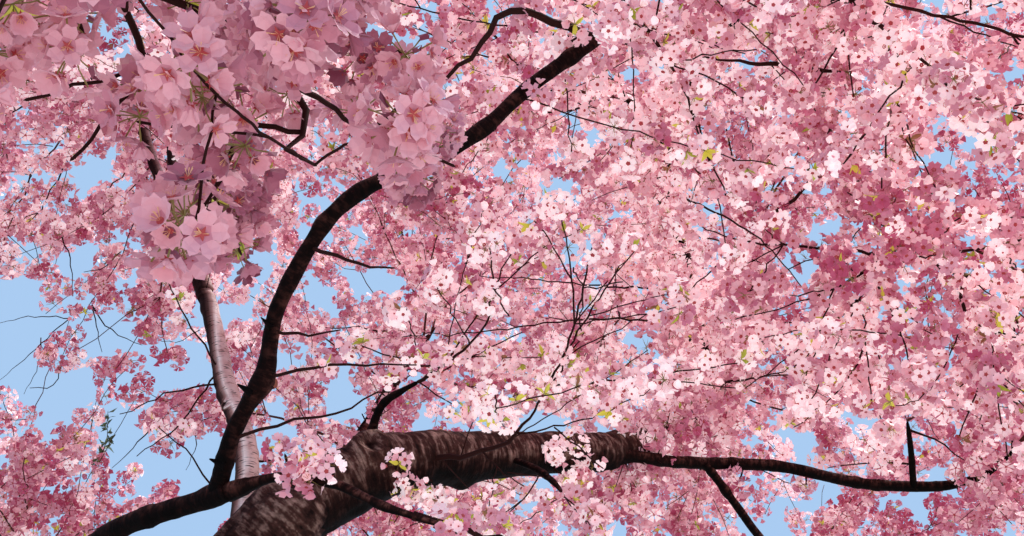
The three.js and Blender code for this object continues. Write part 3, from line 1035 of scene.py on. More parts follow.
# %% Clothed limbs and hanging sprays
CLOTHED = {
    "over_bough": 90, "great_bough_end": 90, "right_canopy_limb": 80, "over_bough_rise": 80,
    "over_bough_drop": 100, "over_bough_side": 80, "leader_right_fork": 14, "leader_left_fork": 14,
}
SPUR_REACH = (0.05, 0.17)
CAMERA_SIDE = 1.1
HANGING = table(
    "middle half distance sprouts",
    ((75, 325), (48, 36), 5.6, 8),
    ((160, 318), (34, 48), 5.4, 14),
    ((120, 375), (32, 20), 5.5, 9),
    ((178, 415), (36, 28), 5.5, 14),
    ((78, 426), (12, 12), 5.6, 2),
    ((84, 450), (12, 9), 5.6, 2),
    ((250, 330), (34, 60), 5.6, 7),
    ((40, 230), (50, 46), 5.6, 12),
    ((150, 220), (60, 50), 5.6, 22),
    ((562, 62), (30, 22), 2.9, 12),
    ((660, 20), (30, 22), 2.8, 10),
    ((500, 500), (60, 30), 3.6, 16),
    ((618, 190), (30, 30), 4.4, 10),
    ((590, 385), (50, 26), 4.6, 14),
    ((610, 505), (40, 26), 4.8, 14),
    ((690, 505), (30, 26), 5.0, 8),
    ((815, 380), (26, 30), 4.6, 8),
    ((850, 440), (40, 20), 4.6, 8),
    ((50, 480), (56, 34), 5.6, 20),
    ((980, 50), (50, 40), 4.8, 14),
    ((40, 40), (50, 40), 4.0, 12),
    ((560, 380), (50, 30), 5.2, 14),
    ((180, 40), (44, 30), 3.4, 12),
    ((575, 335), (60, 50), 4.8, 22),
    ((610, 230), (44, 44), 4.8, 10),
    ((710, 330), (60, 50), 4.8, 12),
    ((850, 330), (50, 50), 4.8, 12),
    ((965, 345), (60, 60), 4.8, 20),
    ((975, 500), (60, 34), 5.0, 18),
    ((1004, 190), (30, 44), 4.8, 10),
    ((218, 226), (46, 34), 1.3, 9),
    ((420, 150), (36, 50), 1.25, 9),
    ((284, 186), (38, 34), 5.2, 16),
    ((330, 78), (30, 26), 3.6, 8),
    ((495, 66), (26, 20), 4.4, 8),
)
HANGING_DEPTH = 0.25


def sprouts_round(node, per_metre, random):
    """Places round a limb, most of them on the camera's side."""
    line, radii = limbs[node]["line"], limbs[node]["radii"]
    at = random.integers(len(line), size=int(per_metre * along_line(line)[-1]))
    outward = unit(random.normal(0, 1, (len(at), 3)) + CAMERA_SIDE * unit(CAMERA_PLACE - line[at]))
    return line[at] + outward * (radii[at] + random.uniform(*SPUR_REACH, len(at)))[:, None]


def sprouts_in(spray, random):
    """Places in a hanging spray."""
    turn = random.random(spray["sprouts"]) * 2 * math.pi
    out = np.sqrt(random.random(spray["sprouts"]))
    u = spray["middle"][0] + spray["half"][0] * out * np.cos(turn)
    v = spray["middle"][1] + spray["half"][1] * out * np.sin(turn)
    return np.array([
        from_pixel(*pixel, spray["distance"] + random.normal(0, HANGING_DEPTH)) for pixel in zip(u, v)
    ])


def home_of(spot):
    """The number of the mass that a point lies in, or nearest to."""
    return int(np.argmax([depth_in(node, spot) for node in mass_names]))


extra = [sprouts_round(node, per_metre, random) for node, per_metre in CLOTHED.items()]
extra += [sprouts_in(spray, random) for spray in HANGING]
extra = np.vstack(extra)
extra = extra[~in_sky(extra)]
extra_mass = np.array([home_of(spot) for spot in extra])
sprouts = np.vstack([sprouts, extra])
sprout_mass = np.append(sprout_mass, extra_mass)
print(len(extra), "sprouts round limbs and in hanging sprays")

# %% [markdown]
# Growth starts from the limbs, wherever they run in or beside a mass, and from the twigs that stand
# out in the picture. Those were picked as pixels. Each starts on the middle line of its limb at the
# point nearest its first pixel, and comes a little nearer to the camera on its way to the tip.

# %% Twigs that stand out in the picture
SEEN_TWIGS = table(
    "limb thick nearer pixels",
    ("leader", 0.0042, 0.2, ((214, 372), (181, 309), (158, 251))),
    ("leader", 0.0042, 0.3, ((216, 384), (183, 389), (120, 414))),
    ("leader", 0.0042, 0.3, ((214, 368), (177, 427), (137, 456))),
    ("leader", 0.0042, 0.2, ((240, 500), (216, 491), (193, 458), (158, 427))),
    ("front_bough_rise", 0.0045, 0.2, ((232, 440), (292, 422), (350, 408), (376, 391), (390, 392))),
    ("front_bough_rise", 0.0045, 0.2, ((268, 380), (330, 365), (416, 365))),
    ("front_bough_rise", 0.0045, 0.1, ((277, 333), (311, 335), (340, 330))),
    ("front_bough_rise", 0.0055, 0.2, ((318, 250), (359, 265), (394, 268))),
    ("front_bough_rise", 0.012, 0.3, ((590, 30), (510, 12), (480, 45), (447, 78))),
    ("over_bough", 0.0055, 0.4, ((668, 190), (700, 205), (760, 240), (800, 285))),
    ("over_bough", 0.0055, 0.5, ((684, 290), (600, 286), (540, 280), (480, 276))),
    ("over_bough", 0.0055, 0.4, ((690, 330), (620, 318), (560, 322), (500, 330), (402, 337))),
    ("over_bough", 0.0075, 0.3, ((706, 384), (745, 380), (784, 372))),
    ("right_canopy_limb", 0.011, 0.2, ((805, 68), (760, 64), (718, 60))),
    ("right_canopy_limb", 0.011, 0.1, ((805, 68), (842, 72))),
    ("right_canopy_limb", 0.0055, 0.3, ((792, 10), (870, 0), (950, 22), (1024, 50))),
    ("right_branch_stub", 0.0055, 0.1, ((908, 430), (935, 440), (964, 460))),
    ("great_bough", 0.013, 0.3, ((414, 468), (450, 458), (482, 451), (510, 440), (530, 418))),
    ("front_bough_spur", 0.011, 0.0, ((412, 513), (440, 525), (468, 531), (500, 536))),
    ("near_limb", 0.0055, 0.1, ((300, 80), (310, 112), (290, 150), (315, 165))),
)
TWIG_STEP = 0.04
THINNING = 0.65
BEHIND = 1e6


def draw_twig(wood, twig):
    """The smooth line and radii of a picked twig, from the wood nearest to its first pixel."""
    u, v, distance = to_pixels(wood)
    pixels = np.array(twig["pixels"], float)
    root = int(np.argmin((u - pixels[0, 0])**2 + (v - pixels[0, 1])**2 + BEHIND * (distance < 0)))
    share = along_line(pixels)
    share /= share[-1]
    knots = [wood[root]]
    for pixel, part in zip(pixels[1:], share[1:]):
        knots.append(from_pixel(*pixel, distance[root] - twig["nearer"] * part))
    return smooth_line(np.array(knots), twig["thick"] * (1 - THINNING * share), TWIG_STEP)


seen_twigs = [draw_twig(limbs[twig["limb"]]["line"], twig) for twig in SEEN_TWIGS]
print(len(seen_twigs), "twigs that stand out")

# %% Where twigs may start
NEAR_MASS = 0.25
START_STEP = 0.05


def starts_on(line, radii, everywhere):
    """Rows of place, aim and radius, for the points of a line near a mass or for all of it."""
    aim = unit(np.gradient(line, axis=0))
    found = []
    last = -START_STEP
    for number, away in enumerate(along_line(line)):
        tip = number == len(line) - 1
        if away - last < START_STEP and not tip:
            continue
        if tip or everywhere or max(depth_in(mass, line[number]) for mass in mass_names) > -NEAR_MASS:
            found.append((*line[number], *aim[number], radii[number]))
            last = away
    return found


starts = [
    row for node, limb in limbs.items() for row in starts_on(limb["line"], limb["radii"], node in CLOTHED)
]
starts += [row for line, radii in seen_twigs for row in starts_on(line[1:], radii[1:], True)]
starts = np.array(starts)
start_spots, start_aims, start_radii = starts[:, :3], starts[:, 3:6], starts[:, 6]
print(len(starts), "places on limbs and seen twigs where twigs may start")

# %% The growth rule
BALANCE = 0.42
TURN_COST = 0.55


def grow(spots, aims, sprouts):
    """Joins every sprout to the tree, cheapest first. Returns all places and what each grows from."""
    places = np.vstack([spots, sprouts])
    parent = np.full(len(places), -1)
    way = np.zeros(len(places))
    aim = np.vstack([aims, np.zeros_like(sprouts)])
    first = len(spots)
    best = np.full(len(sprouts), np.inf)
    best_parent = np.zeros(len(sprouts), int)

    def offer(number):
        ahead = sprouts - places[number]
        reach = np.maximum(np.linalg.norm(ahead, axis=1), 1e-9)
        straight = (ahead @ aim[number]) / reach
        cost = reach * (1 + TURN_COST * (1 - straight)) + BALANCE * way[number]
        better = cost < best
        best[better] = cost[better]
        best_parent[better] = number

    for number in range(first):
        offer(number)
    waiting = np.ones(len(sprouts), bool)
    order = []
    for step in range(len(sprouts)):
        chosen = int(np.argmin(np.where(waiting, best, np.inf)))
        waiting[chosen] = False
        number = first + chosen
        parent[number] = best_parent[chosen]
        ahead = places[number] - places[parent[number]]
        reach = max(np.linalg.norm(ahead), 1e-9)
        way[number] = way[parent[number]] + reach
        aim[number] = ahead / reach
        order.append(number)
        offer(number)
    return places, parent, order


places, parent, order = grow(start_spots, start_aims, sprouts)
reaches = np.linalg.norm(places[order] - places[parent[order]], axis=1)
print("grown:", len(order), "twig pieces, mean", round(float(reaches.mean()), 3), "m")

# %% [markdown]
# A limb is about as thick as all its twigs bundled together, which sets every radius from the
# tips inwards. The thickest child of a joint carries the limb on, the others leave as side twigs,
# and a few rounds of averaging straighten the joints, most where the wood is thick.

# %% Radii and smooth lines of the twigs
TIP_RADIUS = 0.002
BUNDLE = 2.2
STRAIGHTEN = 5
CHILD_SHARE = 0.92

radius = np.zeros(len(places))
main_child = np.full(len(places), -1)
for number in reversed(order):
    radius[number] = max(radius[number] ** (1 / BUNDLE), TIP_RADIUS)
    radius[parent[number]] += radius[number] ** BUNDLE
for number in order:
    held = main_child[parent[number]]
    if held < 0 or radius[number] > radius[held]:
        main_child[parent[number]] = number
first = len(start_spots)
radius[:first] = start_radii
for number in order:
    radius[number] = min(radius[number], CHILD_SHARE * radius[parent[number]])
inner = np.array([number for number in order if main_child[number] >= 0])
for rounds in range(STRAIGHTEN):
    between = (places[parent[inner]] + places[main_child[inner]]) / 2
    places[inner] += 0.5 * (between - places[inner])


def chain_from(number):
    """The places of one twig: the joint it leaves, then child after main child to its tip."""
    chain = [parent[number], number]
    while main_child[chain[-1]] >= 0:
        chain.append(main_child[chain[-1]])
    return chain


chains = [
    chain_from(number)
    for number in order
    if parent[number] < first or main_child[parent[number]] != number
]
print(len(chains), "twigs, thickest", round(float(radius[inner].max()) * 1000), "mm")

# %% [markdown]
# ## Twigs as meshes
#
# Thousands of twigs are too many for one operator call each, so their corners and faces are worked
# out as arrays and joined into a few meshes. Each twig is a tapering tube with a pointed tip. It
# has more sides and more rings the nearer it is to the camera.

# %% Meshes from arrays
def join_arrays(parts):
    """Joins parts, each of corners, triangles and a material number for each triangle."""
    corners = [part[0] for part in parts]
    before = np.cumsum([0] + [len(part) for part in corners[:-1]])
    faces = [part[1] + offset for part, offset in zip(parts, before)]
    return np.vstack(corners), np.vstack(faces), np.concatenate([part[2] for part in parts])


def place_arrays(name, arrays, materials, smooth):
    """Makes an object, at the origin, of corners, triangles and material numbers."""
    corners, faces, numbers = arrays
    mesh = bpy.data.meshes.new(name)
    mesh.vertices.add(len(corners))
    mesh.vertices.foreach_set("co", corners.astype(np.float32).ravel())
    mesh.loops.add(3 * len(faces))
    mesh.loops.foreach_set("vertex_index", faces.astype(np.int32).ravel())
    mesh.polygons.add(len(faces))
    mesh.polygons.foreach_set("loop_start", np.arange(0, 3 * len(faces), 3, dtype=np.int32))
    mesh.polygons.foreach_set("material_index", numbers.astype(np.int32))
    mesh.polygons.foreach_set("use_smooth", np.full(len(faces), smooth))
    mesh.update(calc_edges=True)
    piece = as_object(name, mesh, materials)
    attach(piece, "root")
    print(name + ":", len(faces), "triangles")
    return piece


# %% Twig tubes
RING_PACE = {NEAR: 0.018, CANOPY: 0.035, CROWN: 0.09, OUTER: 0.16}
SIDES = {NEAR: 6, CANOPY: 5, CROWN: 4, OUTER: 3}
POINT_LENGTH = 2
KINK = 0.077
KINKED_BELOW = 0.012


def kinked(line, radii, random):
    """The line with a small bend at every point, as a twig has at its buds."""
    steps = np.linalg.norm(np.diff(line, axis=0), axis=1).mean()
    push = random.normal(0, KINK * steps, line.shape)
    push[[0, -1]] = 0
    return line + push * (radii[:, None] < KINKED_BELOW)


def tube(line, radii, sides, tone):
    """A tapering tube with a pointed tip, as corners, triangles and material numbers."""
    across, _ = rings_round(line, np.arange(sides))
    rings = line[:, None] + across * radii[:, None, None]
    tip = line[-1] + unit(line[-1] - line[-2]) * POINT_LENGTH * radii[-1]
    corner = np.arange(len(line) * sides).reshape(-1, sides)
    after = np.roll(corner, -1, axis=1)
    lower = np.stack([corner[:-1], after[:-1], after[1:]], axis=-1).reshape(-1, 3)
    upper = np.stack([corner[:-1], after[1:], corner[1:]], axis=-1).reshape(-1, 3)
    end = np.stack([corner[-1], after[-1], np.full(sides, corner.size)], axis=-1)
    faces = np.vstack([lower, upper, end])
    return np.vstack([rings.reshape(-1, 3), tip]), faces, np.full(len(faces), tone)


# %% [markdown]
# ## Bare twigs and spurs
#
# Two more kinds of twig were picked in the picture. Bare thin twigs stand against the sky at the
# left, and each starts from the grown twig nearest to its first pixel. Short spurs stand on limbs,
# wherever a single bunch of flowers grows straight from the wood. Their bunches are kept even where
# they cover a limb. Covered wood is a group of limbs that lie behind each other in the picture, so a
# spur goes on whichever of them a ray through its pixel meets first, as it does on the old wood.

# %% Bare twigs and spurs, picked as pixels
COVERED_WOOD = ["right_canopy_limb", "over_bough", "over_bough_rise", "over_bough_drop", "over_bough_side"]
LIMB_SPURS = table(
    "limb pixels",
    ("front_bough_spur", ((290, 468), (316, 474), (334, 482), (302, 472), (444, 525), (462, 530))),
    ("great_bough", ((400, 480), (414, 492), (394, 470), (438, 516), (424, 476))),
    ("great_bough", ((548, 455), (560, 474), (580, 486), (568, 446), (588, 462), (572, 470))),
    ("right_branch", ((742, 474), (806, 478), (956, 483), (966, 480))),
    ("right_branch", ((978, 474), (990, 466), (999, 460), (1008, 454))),
    ("leader", ((262, 462),)),
    ("back_rise", ((366, 421), (360, 430), (370, 414))),
    ("right_canopy_limb", ((802, 58), (808, 76), (820, 118), (831, 133), (660, 142), (661, 156))),
    ("right_canopy_limb", ((756, 246), (760, 257), (804, 68), (826, 125), (667, 147), (663, 190))),
    ("right_canopy_limb", ((663, 202), (666, 213), (870, 202))),
)
SPUR_STEPS = (-0.015, 0.02, 0.045)
SPUR_RADII = (0.005, 0.004, 0.003)
SPUR_RISE = (0, 0, 0.006)
BARE_THICK, BARE_NEARER = 0.0042, 0.1
BARE_TWIGS = (
    ((110, 476), (106, 444), (108, 411)), ((58, 330), (30, 354), (0, 380)),
    ((60, 336), (38, 366), (24, 394)), ((60, 322), (28, 317), (0, 323)),
    ((84, 314), (111, 330), (142, 345)), ((60, 238), (70, 258), (73, 296)),
    ((101, 328), (102, 352)), ((76, 366), (54, 384), (30, 388)),
    ((154, 428), (138, 442), (112, 468)), ((186, 418), (196, 444), (186, 470)),
    ((118, 250), (100, 270), (84, 272)), ((200, 330), (176, 342), (150, 340)),
)


def spur_line(spot, outward):
    """The line of a short spur, from inside its limb outwards and a little up."""
    line = np.array([spot + step * outward for step in SPUR_STEPS])
    line[-1] += SPUR_RISE
    return line


# %% Collect all the twigs
FOOT_SWELL, FOOT_SHARE = 1.25, 0.9

random = np.random.default_rng(SEED + 1)
twigs = []


def add_twig(line, radii, kind, home, mark=""):
    """Notes a twig. A mark says how the picture shows it: seen, bare, or with a bunch that is kept."""
    twigs.append({"line": line, "radii": radii, "kind": kind, "home": home, "mark": mark})


for chain in chains:
    kind = int(kind_of(places[chain].mean(axis=0))[0])
    thick = radius[chain].copy()
    thick[0] = min(FOOT_SWELL * thick[1], FOOT_SHARE * thick[0])
    line, thick = smooth_line(places[chain], thick, RING_PACE[kind])
    add_twig(kinked(line, thick, random), thick, kind, int(sprout_mass[chain[-1] - first]))
for line, thick in seen_twigs:
    kind = int(kind_of(line.mean(axis=0))[0])
    add_twig(kinked(line, thick, random), thick, kind, home_of(line[-1]), "seen")
for pixels in BARE_TWIGS:
    line, thick = draw_twig(places[order], {"pixels": pixels, "thick": BARE_THICK, "nearer": BARE_NEARER})
    add_twig(kinked(line, thick, random), thick, CROWN, home_of(line[0]), "bare")
for spurs in LIMB_SPURS:
    wood = next((wood for wood in (OLD_WOOD, COVERED_WOOD) if spurs["limb"] in wood), [spurs["limb"]])
    for pixel in spurs["pixels"]:
        spot, outward = spot_on(wood, pixel)
        add_twig(spur_line(spot, outward), np.array(SPUR_RADII), CANOPY, home_of(spot), "kept")
print("twigs and spurs:", dict(Counter(twig["mark"] or "grown" for twig in twigs)))

# %% Join the twigs into two pieces
THIN = 0.0035
PAINTED_LIT_SHARE = 0.6
# The paler twig tone is a copy of the dark twig bark that stands for sunlit twigs: painted light.
TWIG_TONES = [
    make_plain("twig_dark", (48, 25, 22), 0.8, shine=SHINE),
    make_plain("twig_painted_lit", (84, 52, 46), 0.8, shine=SHINE),
]

tubes = {"inner_twigs": [], "outer_twigs": []}
for twig in twigs:
    sides = SIDES[twig["kind"]] - (twig["radii"].max() < THIN and twig["kind"] < OUTER)
    tone = int(twig["kind"] >= CROWN and random.random() < PAINTED_LIT_SHARE and not twig["mark"])
    group = "outer_twigs" if twig["kind"] == OUTER else "inner_twigs"
    tubes[group].append(tube(twig["line"], twig["radii"], sides, tone))
for name, parts in tubes.items():
    place_arrays(name, join_arrays(parts), TWIG_TONES, True)

# %% [markdown]
# ## Flowers
#
# These flowers are single: five notched petals round a darker throat, on a thin green stalk, with
# ten or so flowers springing from one bud. Each petal starts as a small grid whose corners move to
# the petal's outline, and one turn of the spin operator makes the five. The four grades of flower
# have from about 75 triangles down to five, because thousands of bunches have to stay light.

# %% Petals
PETAL, PETAL_PAINTED_LIT, HEART_AND_SHADE, THROAT, STAMEN, STALK, BUD = range(7)
GRADES = {
    NEAR: {"rows": (0.07, 0.27, 0.38, 0.22), "across": 2, "reach": 0.0215, "stamens": 7},
    CANOPY: {"rows": (0.0, 0.38, 0.31), "across": 1, "reach": 0.0215, "stamens": 0},
    CROWN: {"rows": (0.0, 0.52), "across": 1, "reach": 0.0235, "stamens": 0},
    OUTER: {"rows": (0.0, 0.56), "across": 1, "reach": 0.029, "stamens": 0},
}
NOTCH = 0.1
PETAL_START = 0.06
BOWL = 0.16
HEART_REACH = 0.3
FIFTH = 2 * math.pi / 5


def add_petals(flower, grade, lift):
    """Five petals round the flower's middle; lift is how far they stand up from flat."""
    last = len(grade["rows"]) - 1
    made = bmesh.ops.create_grid(flower, x_segments=last, y_segments=grade["across"], size=1)["verts"]
    for corner in made:
        row = round((corner.co.x + 1) / 2 * last)
        side = corner.co.y
        out = row / last * (1 - NOTCH * (row == last and side == 0)) + PETAL_START
        bowl = BOWL * (abs(side) - 0.5) * math.sin(math.pi * row / last)
        corner.co = (out * math.cos(lift), grade["rows"][row] * side, out * math.sin(lift) + bowl)
    bmesh.ops.remove_doubles(flower, verts=made, dist=MERGE_GAP)
    for face in flower.faces:
        heart = last > 2 and face.calc_center_median().length < HEART_REACH
        face.material_index = HEART_AND_SHADE if heart else PETAL
    bmesh.ops.spin(
        flower, geom=flower.verts[:] + flower.edges[:] + flower.faces[:], cent=(0, 0, 0), axis=(0, 0, 1),
        angle=4 * FIFTH, steps=4, use_duplicate=True,
    )


# %% [markdown]
# The throat is a small disc just over the petals, and up close a star with ten points. Stamens are
# thin triangles. They are left out where a flower is only a few pixels wide.

# %% Throats, stamens and whole flowers
THROATS = {NEAR: (10, 0.24), CANOPY: (5, 0.3), CROWN: (3, 0.33)}
THROAT_STAR, THROAT_HEIGHT = (0.55, 1.45), 0.12
STAMEN_LEAN, STAMEN_STRAY, STAMEN_WIDTH, STAMEN_NARROW = 0.15, 0.25, 0.022, 0.3
STAMEN_FOOT, STAMEN_TOP = 0.1, 0.42


def add_middle(flower, grade, kind, random):
    """The throat of a flower, and its stamens where it is near enough for them to show."""
    points, wide = THROATS.get(kind, (0, 0))
    if not points:
        return
    made = bmesh.ops.create_circle(flower, segments=points, radius=wide, cap_ends=True)["verts"]
    for number, corner in enumerate(made):
        if kind == NEAR:
            corner.co *= THROAT_STAR[number % 2]
        corner.co.z = THROAT_HEIGHT
    for face in {face for corner in made for face in corner.link_faces}:
        face.material_index = THROAT
    for number in range(grade["stamens"]):
        turn = random.random() * 2 * math.pi
        lean = STAMEN_LEAN + STAMEN_STRAY * random.random()
        top = Vector((math.cos(turn) * lean, math.sin(turn) * lean, STAMEN_TOP))
        side = Vector((-math.sin(turn), math.cos(turn), 0)) * STAMEN_WIDTH
        foot = -side * STAMEN_NARROW + Vector((0, 0, STAMEN_FOOT))
        corners = [flower.verts.new(spot) for spot in (foot, top - side, top + side)]
        flower.faces.new(corners).material_index = STAMEN


def make_flower(kind, lift, random):
    """A flower facing +Z with its petals one long, as a bmesh."""
    flower = bmesh.new()
    add_petals(flower, GRADES[kind], lift)
    add_middle(flower, GRADES[kind], kind, random)
    return flower


# %% [markdown]
# A bunch is ten or so flowers on stalks from one bud. They spread over more than half a ball, and
# each faces away from the bud. Some are half open, and some are still buds of a deeper pink. A few
# different bunches of each grade are enough, because every copy is turned and sized by chance.

# %% Arrays and rotations
def as_arrays(shape):
    """A bmesh as corners, triangles and material numbers."""
    bmesh.ops.triangulate(shape, faces=shape.faces)
    shape.verts.index_update()
    corners = np.array([corner.co for corner in shape.verts])
    faces = np.array([[corner.index for corner in face.verts] for face in shape.faces])
    numbers = np.array([face.material_index for face in shape.faces])
    shape.free()
    return corners, faces, numbers


def turned_to(aims, turns):
    """Rotations that take +Z to each aim, with a turn about it first."""
    helper = np.where(np.abs(aims[:, 2:]) < 0.9, (0.0, 0.0, 1.0), (1.0, 0.0, 0.0))
    side = unit(np.cross(helper, aims))
    up = np.cross(aims, side)
    cosine, sine = np.cos(turns)[:, None], np.sin(turns)[:, None]
    return np.stack([side * cosine + up * sine, up * cosine - side * sine, aims], axis=2)


# %% Stalks and buds
STALK_BEND = np.array((0, 0, 0.002))
STALK_RADII = (0.0009, 0.0008, 0.0011)
STALK_WIDTH = {CANOPY: 0.0011, CROWN: 0.002, OUTER: 0.002}
BUD_SIDES = {NEAR: 5, CANOPY: 3}
BUD_FOOT, BUD_WIDE, BUD_LENGTH = 0.0035, 0.0055, 0.011


def stalk_part(kind, end):
    """A thin stalk from the bud to a flower: a tube close by, and one thin triangle far off."""
    if kind == NEAR:
        line = np.array([(0, 0, 0), end * 0.5 + STALK_BEND, end])
        return tube(line, np.array(STALK_RADII), 3, STALK)
    across = unit(np.cross(end, (0.3, 0.2, 0.9))) * STALK_WIDTH[kind]
    return np.array([-across, across, end]), np.array([[0, 1, 2]]), np.array([STALK])


def bud_part(kind, end, aim):
    """A closed flower bud at the end of its stalk: a cone whose wide end is drawn together to a point."""
    shape = bmesh.new()
    sides = BUD_SIDES[kind]
    bmesh.ops.create_cone(shape, segments=sides, radius1=BUD_FOOT, radius2=BUD_WIDE, depth=BUD_LENGTH)
    bmesh.ops.pointmerge(shape, verts=shape.verts[-sides:], merge_co=(0, 0, BUD_LENGTH))
    for face in shape.faces:
        face.material_index = BUD
    corners, faces, numbers = as_arrays(shape)
    rotation = turned_to(aim[None], np.zeros(1))[0]
    return corners @ rotation.T + end, faces, numbers


# %% Bunches of flowers
BUNCH = {
    NEAR: {"flowers": 10, "buds": 2, "stalk": (0.022, 0.036)},
    CANOPY: {"flowers": 10, "buds": 1, "stalk": (0.026, 0.040)},
    CROWN: {"flowers": 11, "buds": 0, "stalk": (0.026, 0.052)},
    OUTER: {"flowers": 10, "buds": 0, "stalk": (0.028, 0.058)},
}
STYLES = 8
OPEN_LIFTS = (0.3, 0.45, 0.6, 0.8, 1.05)
PAINTED_LIGHT_SHARES = (0.5, 0.32, 0.18)
GOLDEN_TURN = math.pi * (3 - math.sqrt(5))
BALL_SHARE = 1.45
TURN_STRAY, AIM_STRAY, FACE_STRAY = 0.25, 0.12, 0.28
FLOWER_SIZES = (0.88, 1.1)


def make_bunch(kind, style):
    """One bunch springing from the origin towards +Z, as arrays."""
    random = np.random.default_rng(SEED * 100 + kind * 10 + style)
    plan, reach = BUNCH[kind], GRADES[kind]["reach"]
    total = plan["flowers"] + plan["buds"]
    parts = []
    for number in range(total):
        height = 1 - BALL_SHARE * (number + 0.5) / total
        turn = number * GOLDEN_TURN + random.normal(0, TURN_STRAY)
        flat = math.sqrt(1 - height**2)
        even = np.array([flat * math.cos(turn), flat * math.sin(turn), height])
        away = unit(even + random.normal(0, AIM_STRAY, 3))
        end = away * random.uniform(*plan["stalk"])
        if kind < CROWN or number % 2 == 0:
            parts.append(stalk_part(kind, end))
        facing = unit(away + random.normal(0, FACE_STRAY, 3))
        if number >= plan["flowers"]:
            parts.append(bud_part(kind, end, facing))
            continue
        lift = OPEN_LIFTS[random.integers(len(OPEN_LIFTS))]
        corners, faces, numbers = as_arrays(make_flower(kind, lift, random))
        # Painted light and shade: some flowers take a paler copy of the bunch's tint as if sunlit, and some
        # take the heart's deeper tint as if shaded.
        shade = random.choice((PETAL, PETAL_PAINTED_LIT, HEART_AND_SHADE), p=PAINTED_LIGHT_SHARES)
        numbers = np.where(numbers == PETAL, shade, numbers)
        rotation = turned_to(facing[None], random.random(1) * 2 * math.pi)[0]
        size = reach * random.uniform(*FLOWER_SIZES)
        parts.append((corners @ rotation.T * size + end, faces, numbers))
    return join_arrays(parts)


bunches = {kind: [make_bunch(kind, style) for style in range(STYLES)] for kind in BUNCH}
print("triangles in a bunch:", {kind: len(styles[0][1]) for kind, styles in bunches.items()})

# %% [markdown]
# ## Where the bunches grow
#
# Bunches sit on thin wood: at every twig's tip, and all along it, each springing away from the
# twig. A few grow straight from the thick limbs, where the picture shows them. The places are
# spread evenly over the length of twig, mass by mass, and none is let into a gap of sky.
#
# Some limbs and twigs show in the picture right across the crown, so no bunch may hang between them
# and the camera. A limb shows inside a window of the picture, given by its left, top, right and
# bottom. A bunch is out of the way when it is farther off than the limb or to its side.

# %% Keeping clear of the limbs that show
WHOLE_PICTURE = (0, 0, IMAGE_WIDTH, IMAGE_HEIGHT)
SHOWING = {
    "leader": WHOLE_PICTURE,
    "leader_left_fork": (0, 130, 400, 536),
    "leader_right_fork": (0, 165, 400, 536),
    "front_bough": WHOLE_PICTURE,
    "front_bough_rise": (0, 185, 368, 536),
    "front_bough_spur": WHOLE_PICTURE,
    "trunk": WHOLE_PICTURE,
    "great_bough": (0, 0, 636, 536),
    "middle_limb": WHOLE_PICTURE,
    "right_branch": (640, 0, 1024, 536),
    "right_branch_fork": WHOLE_PICTURE,
    "right_branch_stub": WHOLE_PICTURE,
}
LIMB_RADIUS = 0.0132
SIGHT_SHARE = 0.7
TWIG_SHARE = 0.8
BUNCH_RADIUS = 0.055
FOOT_PART = 4
NEAREST = 0.1


def clear_of_sight(spots, level):
    """Which bunches don't stand in front of a limb or twig that shows in the picture."""
    u, v, distance = to_pixels(spots)
    clear = np.ones(len(spots), bool)
    lines = [(limbs[node]["line"], limbs[node]["radii"], window) for node, window in SHOWING.items()]
    for line, radii in seen_twigs:
        past_foot = len(line) // FOOT_PART
        lines.append((line[past_foot:], radii[past_foot:], WHOLE_PICTURE))
    for line, radii, window in lines:
        line_u, line_v, line_distance = to_pixels(line)
        inside = in_window(line_u, line_v, line_distance, window)
        share = SIGHT_SHARE if radii.max() > LIMB_RADIUS else TWIG_SHARE
        bunch = share * BUNCH_RADIUS / np.maximum(distance, NEAREST)
        for number in np.flatnonzero(inside):
            wide = (radii[number] / line_distance[number] + bunch) * FOCAL
            apart = np.hypot(u - line_u[number], v - line_v[number])
            clear &= (apart > wide) | (distance > line_distance[number]) | (distance < 0)
    return clear | (level == NEAR)


# %% [markdown]
# Every mass asks for its share of bunches. Each twig's tip gets one, and the rest are dealt out
# evenly along the wood. Parts of a mass that the camera doesn't see get fewer and larger bunches.

# %% Places for the bunches
THICKEST_SPUR = 0.011
PLACE_STEP = 0.01
EXTRA_BUNCHES = 1.6
UNSEEN_SHARE = 0.42
SPUR_LENGTH = {NEAR: 0.012, CANOPY: 0.02, CROWN: 0.04, OUTER: 0.05}
SPUR_AHEAD = 0.5
MIDDLE_LIMIT = 4.1


def points_on(twig):
    """Rows of place, aim, home mass and whether it is kept, along a twig's thin part and at its tip."""
    away = along_line(twig["line"])
    steps = np.arange(0, away[-1], PLACE_STEP)
    steps = np.append(steps[np.interp(steps, away, twig["radii"]) < THICKEST_SPUR], away[-1])
    aims = unit(np.gradient(twig["line"], axis=0))
    columns = [np.interp(steps, away, row) for row in (*twig["line"].T, *aims.T)]
    marks = np.full((2, len(steps)), [[twig["home"]], [twig["mark"] == "kept"]])
    return np.stack([*columns, *marks], axis=1)


def spread_over(points, wanted, random):
    """Points picked evenly over a list of them, each a little off its even place."""
    picks = (np.arange(wanted) + random.random(wanted)) * len(points) / wanted
    return points[picks.astype(int)]


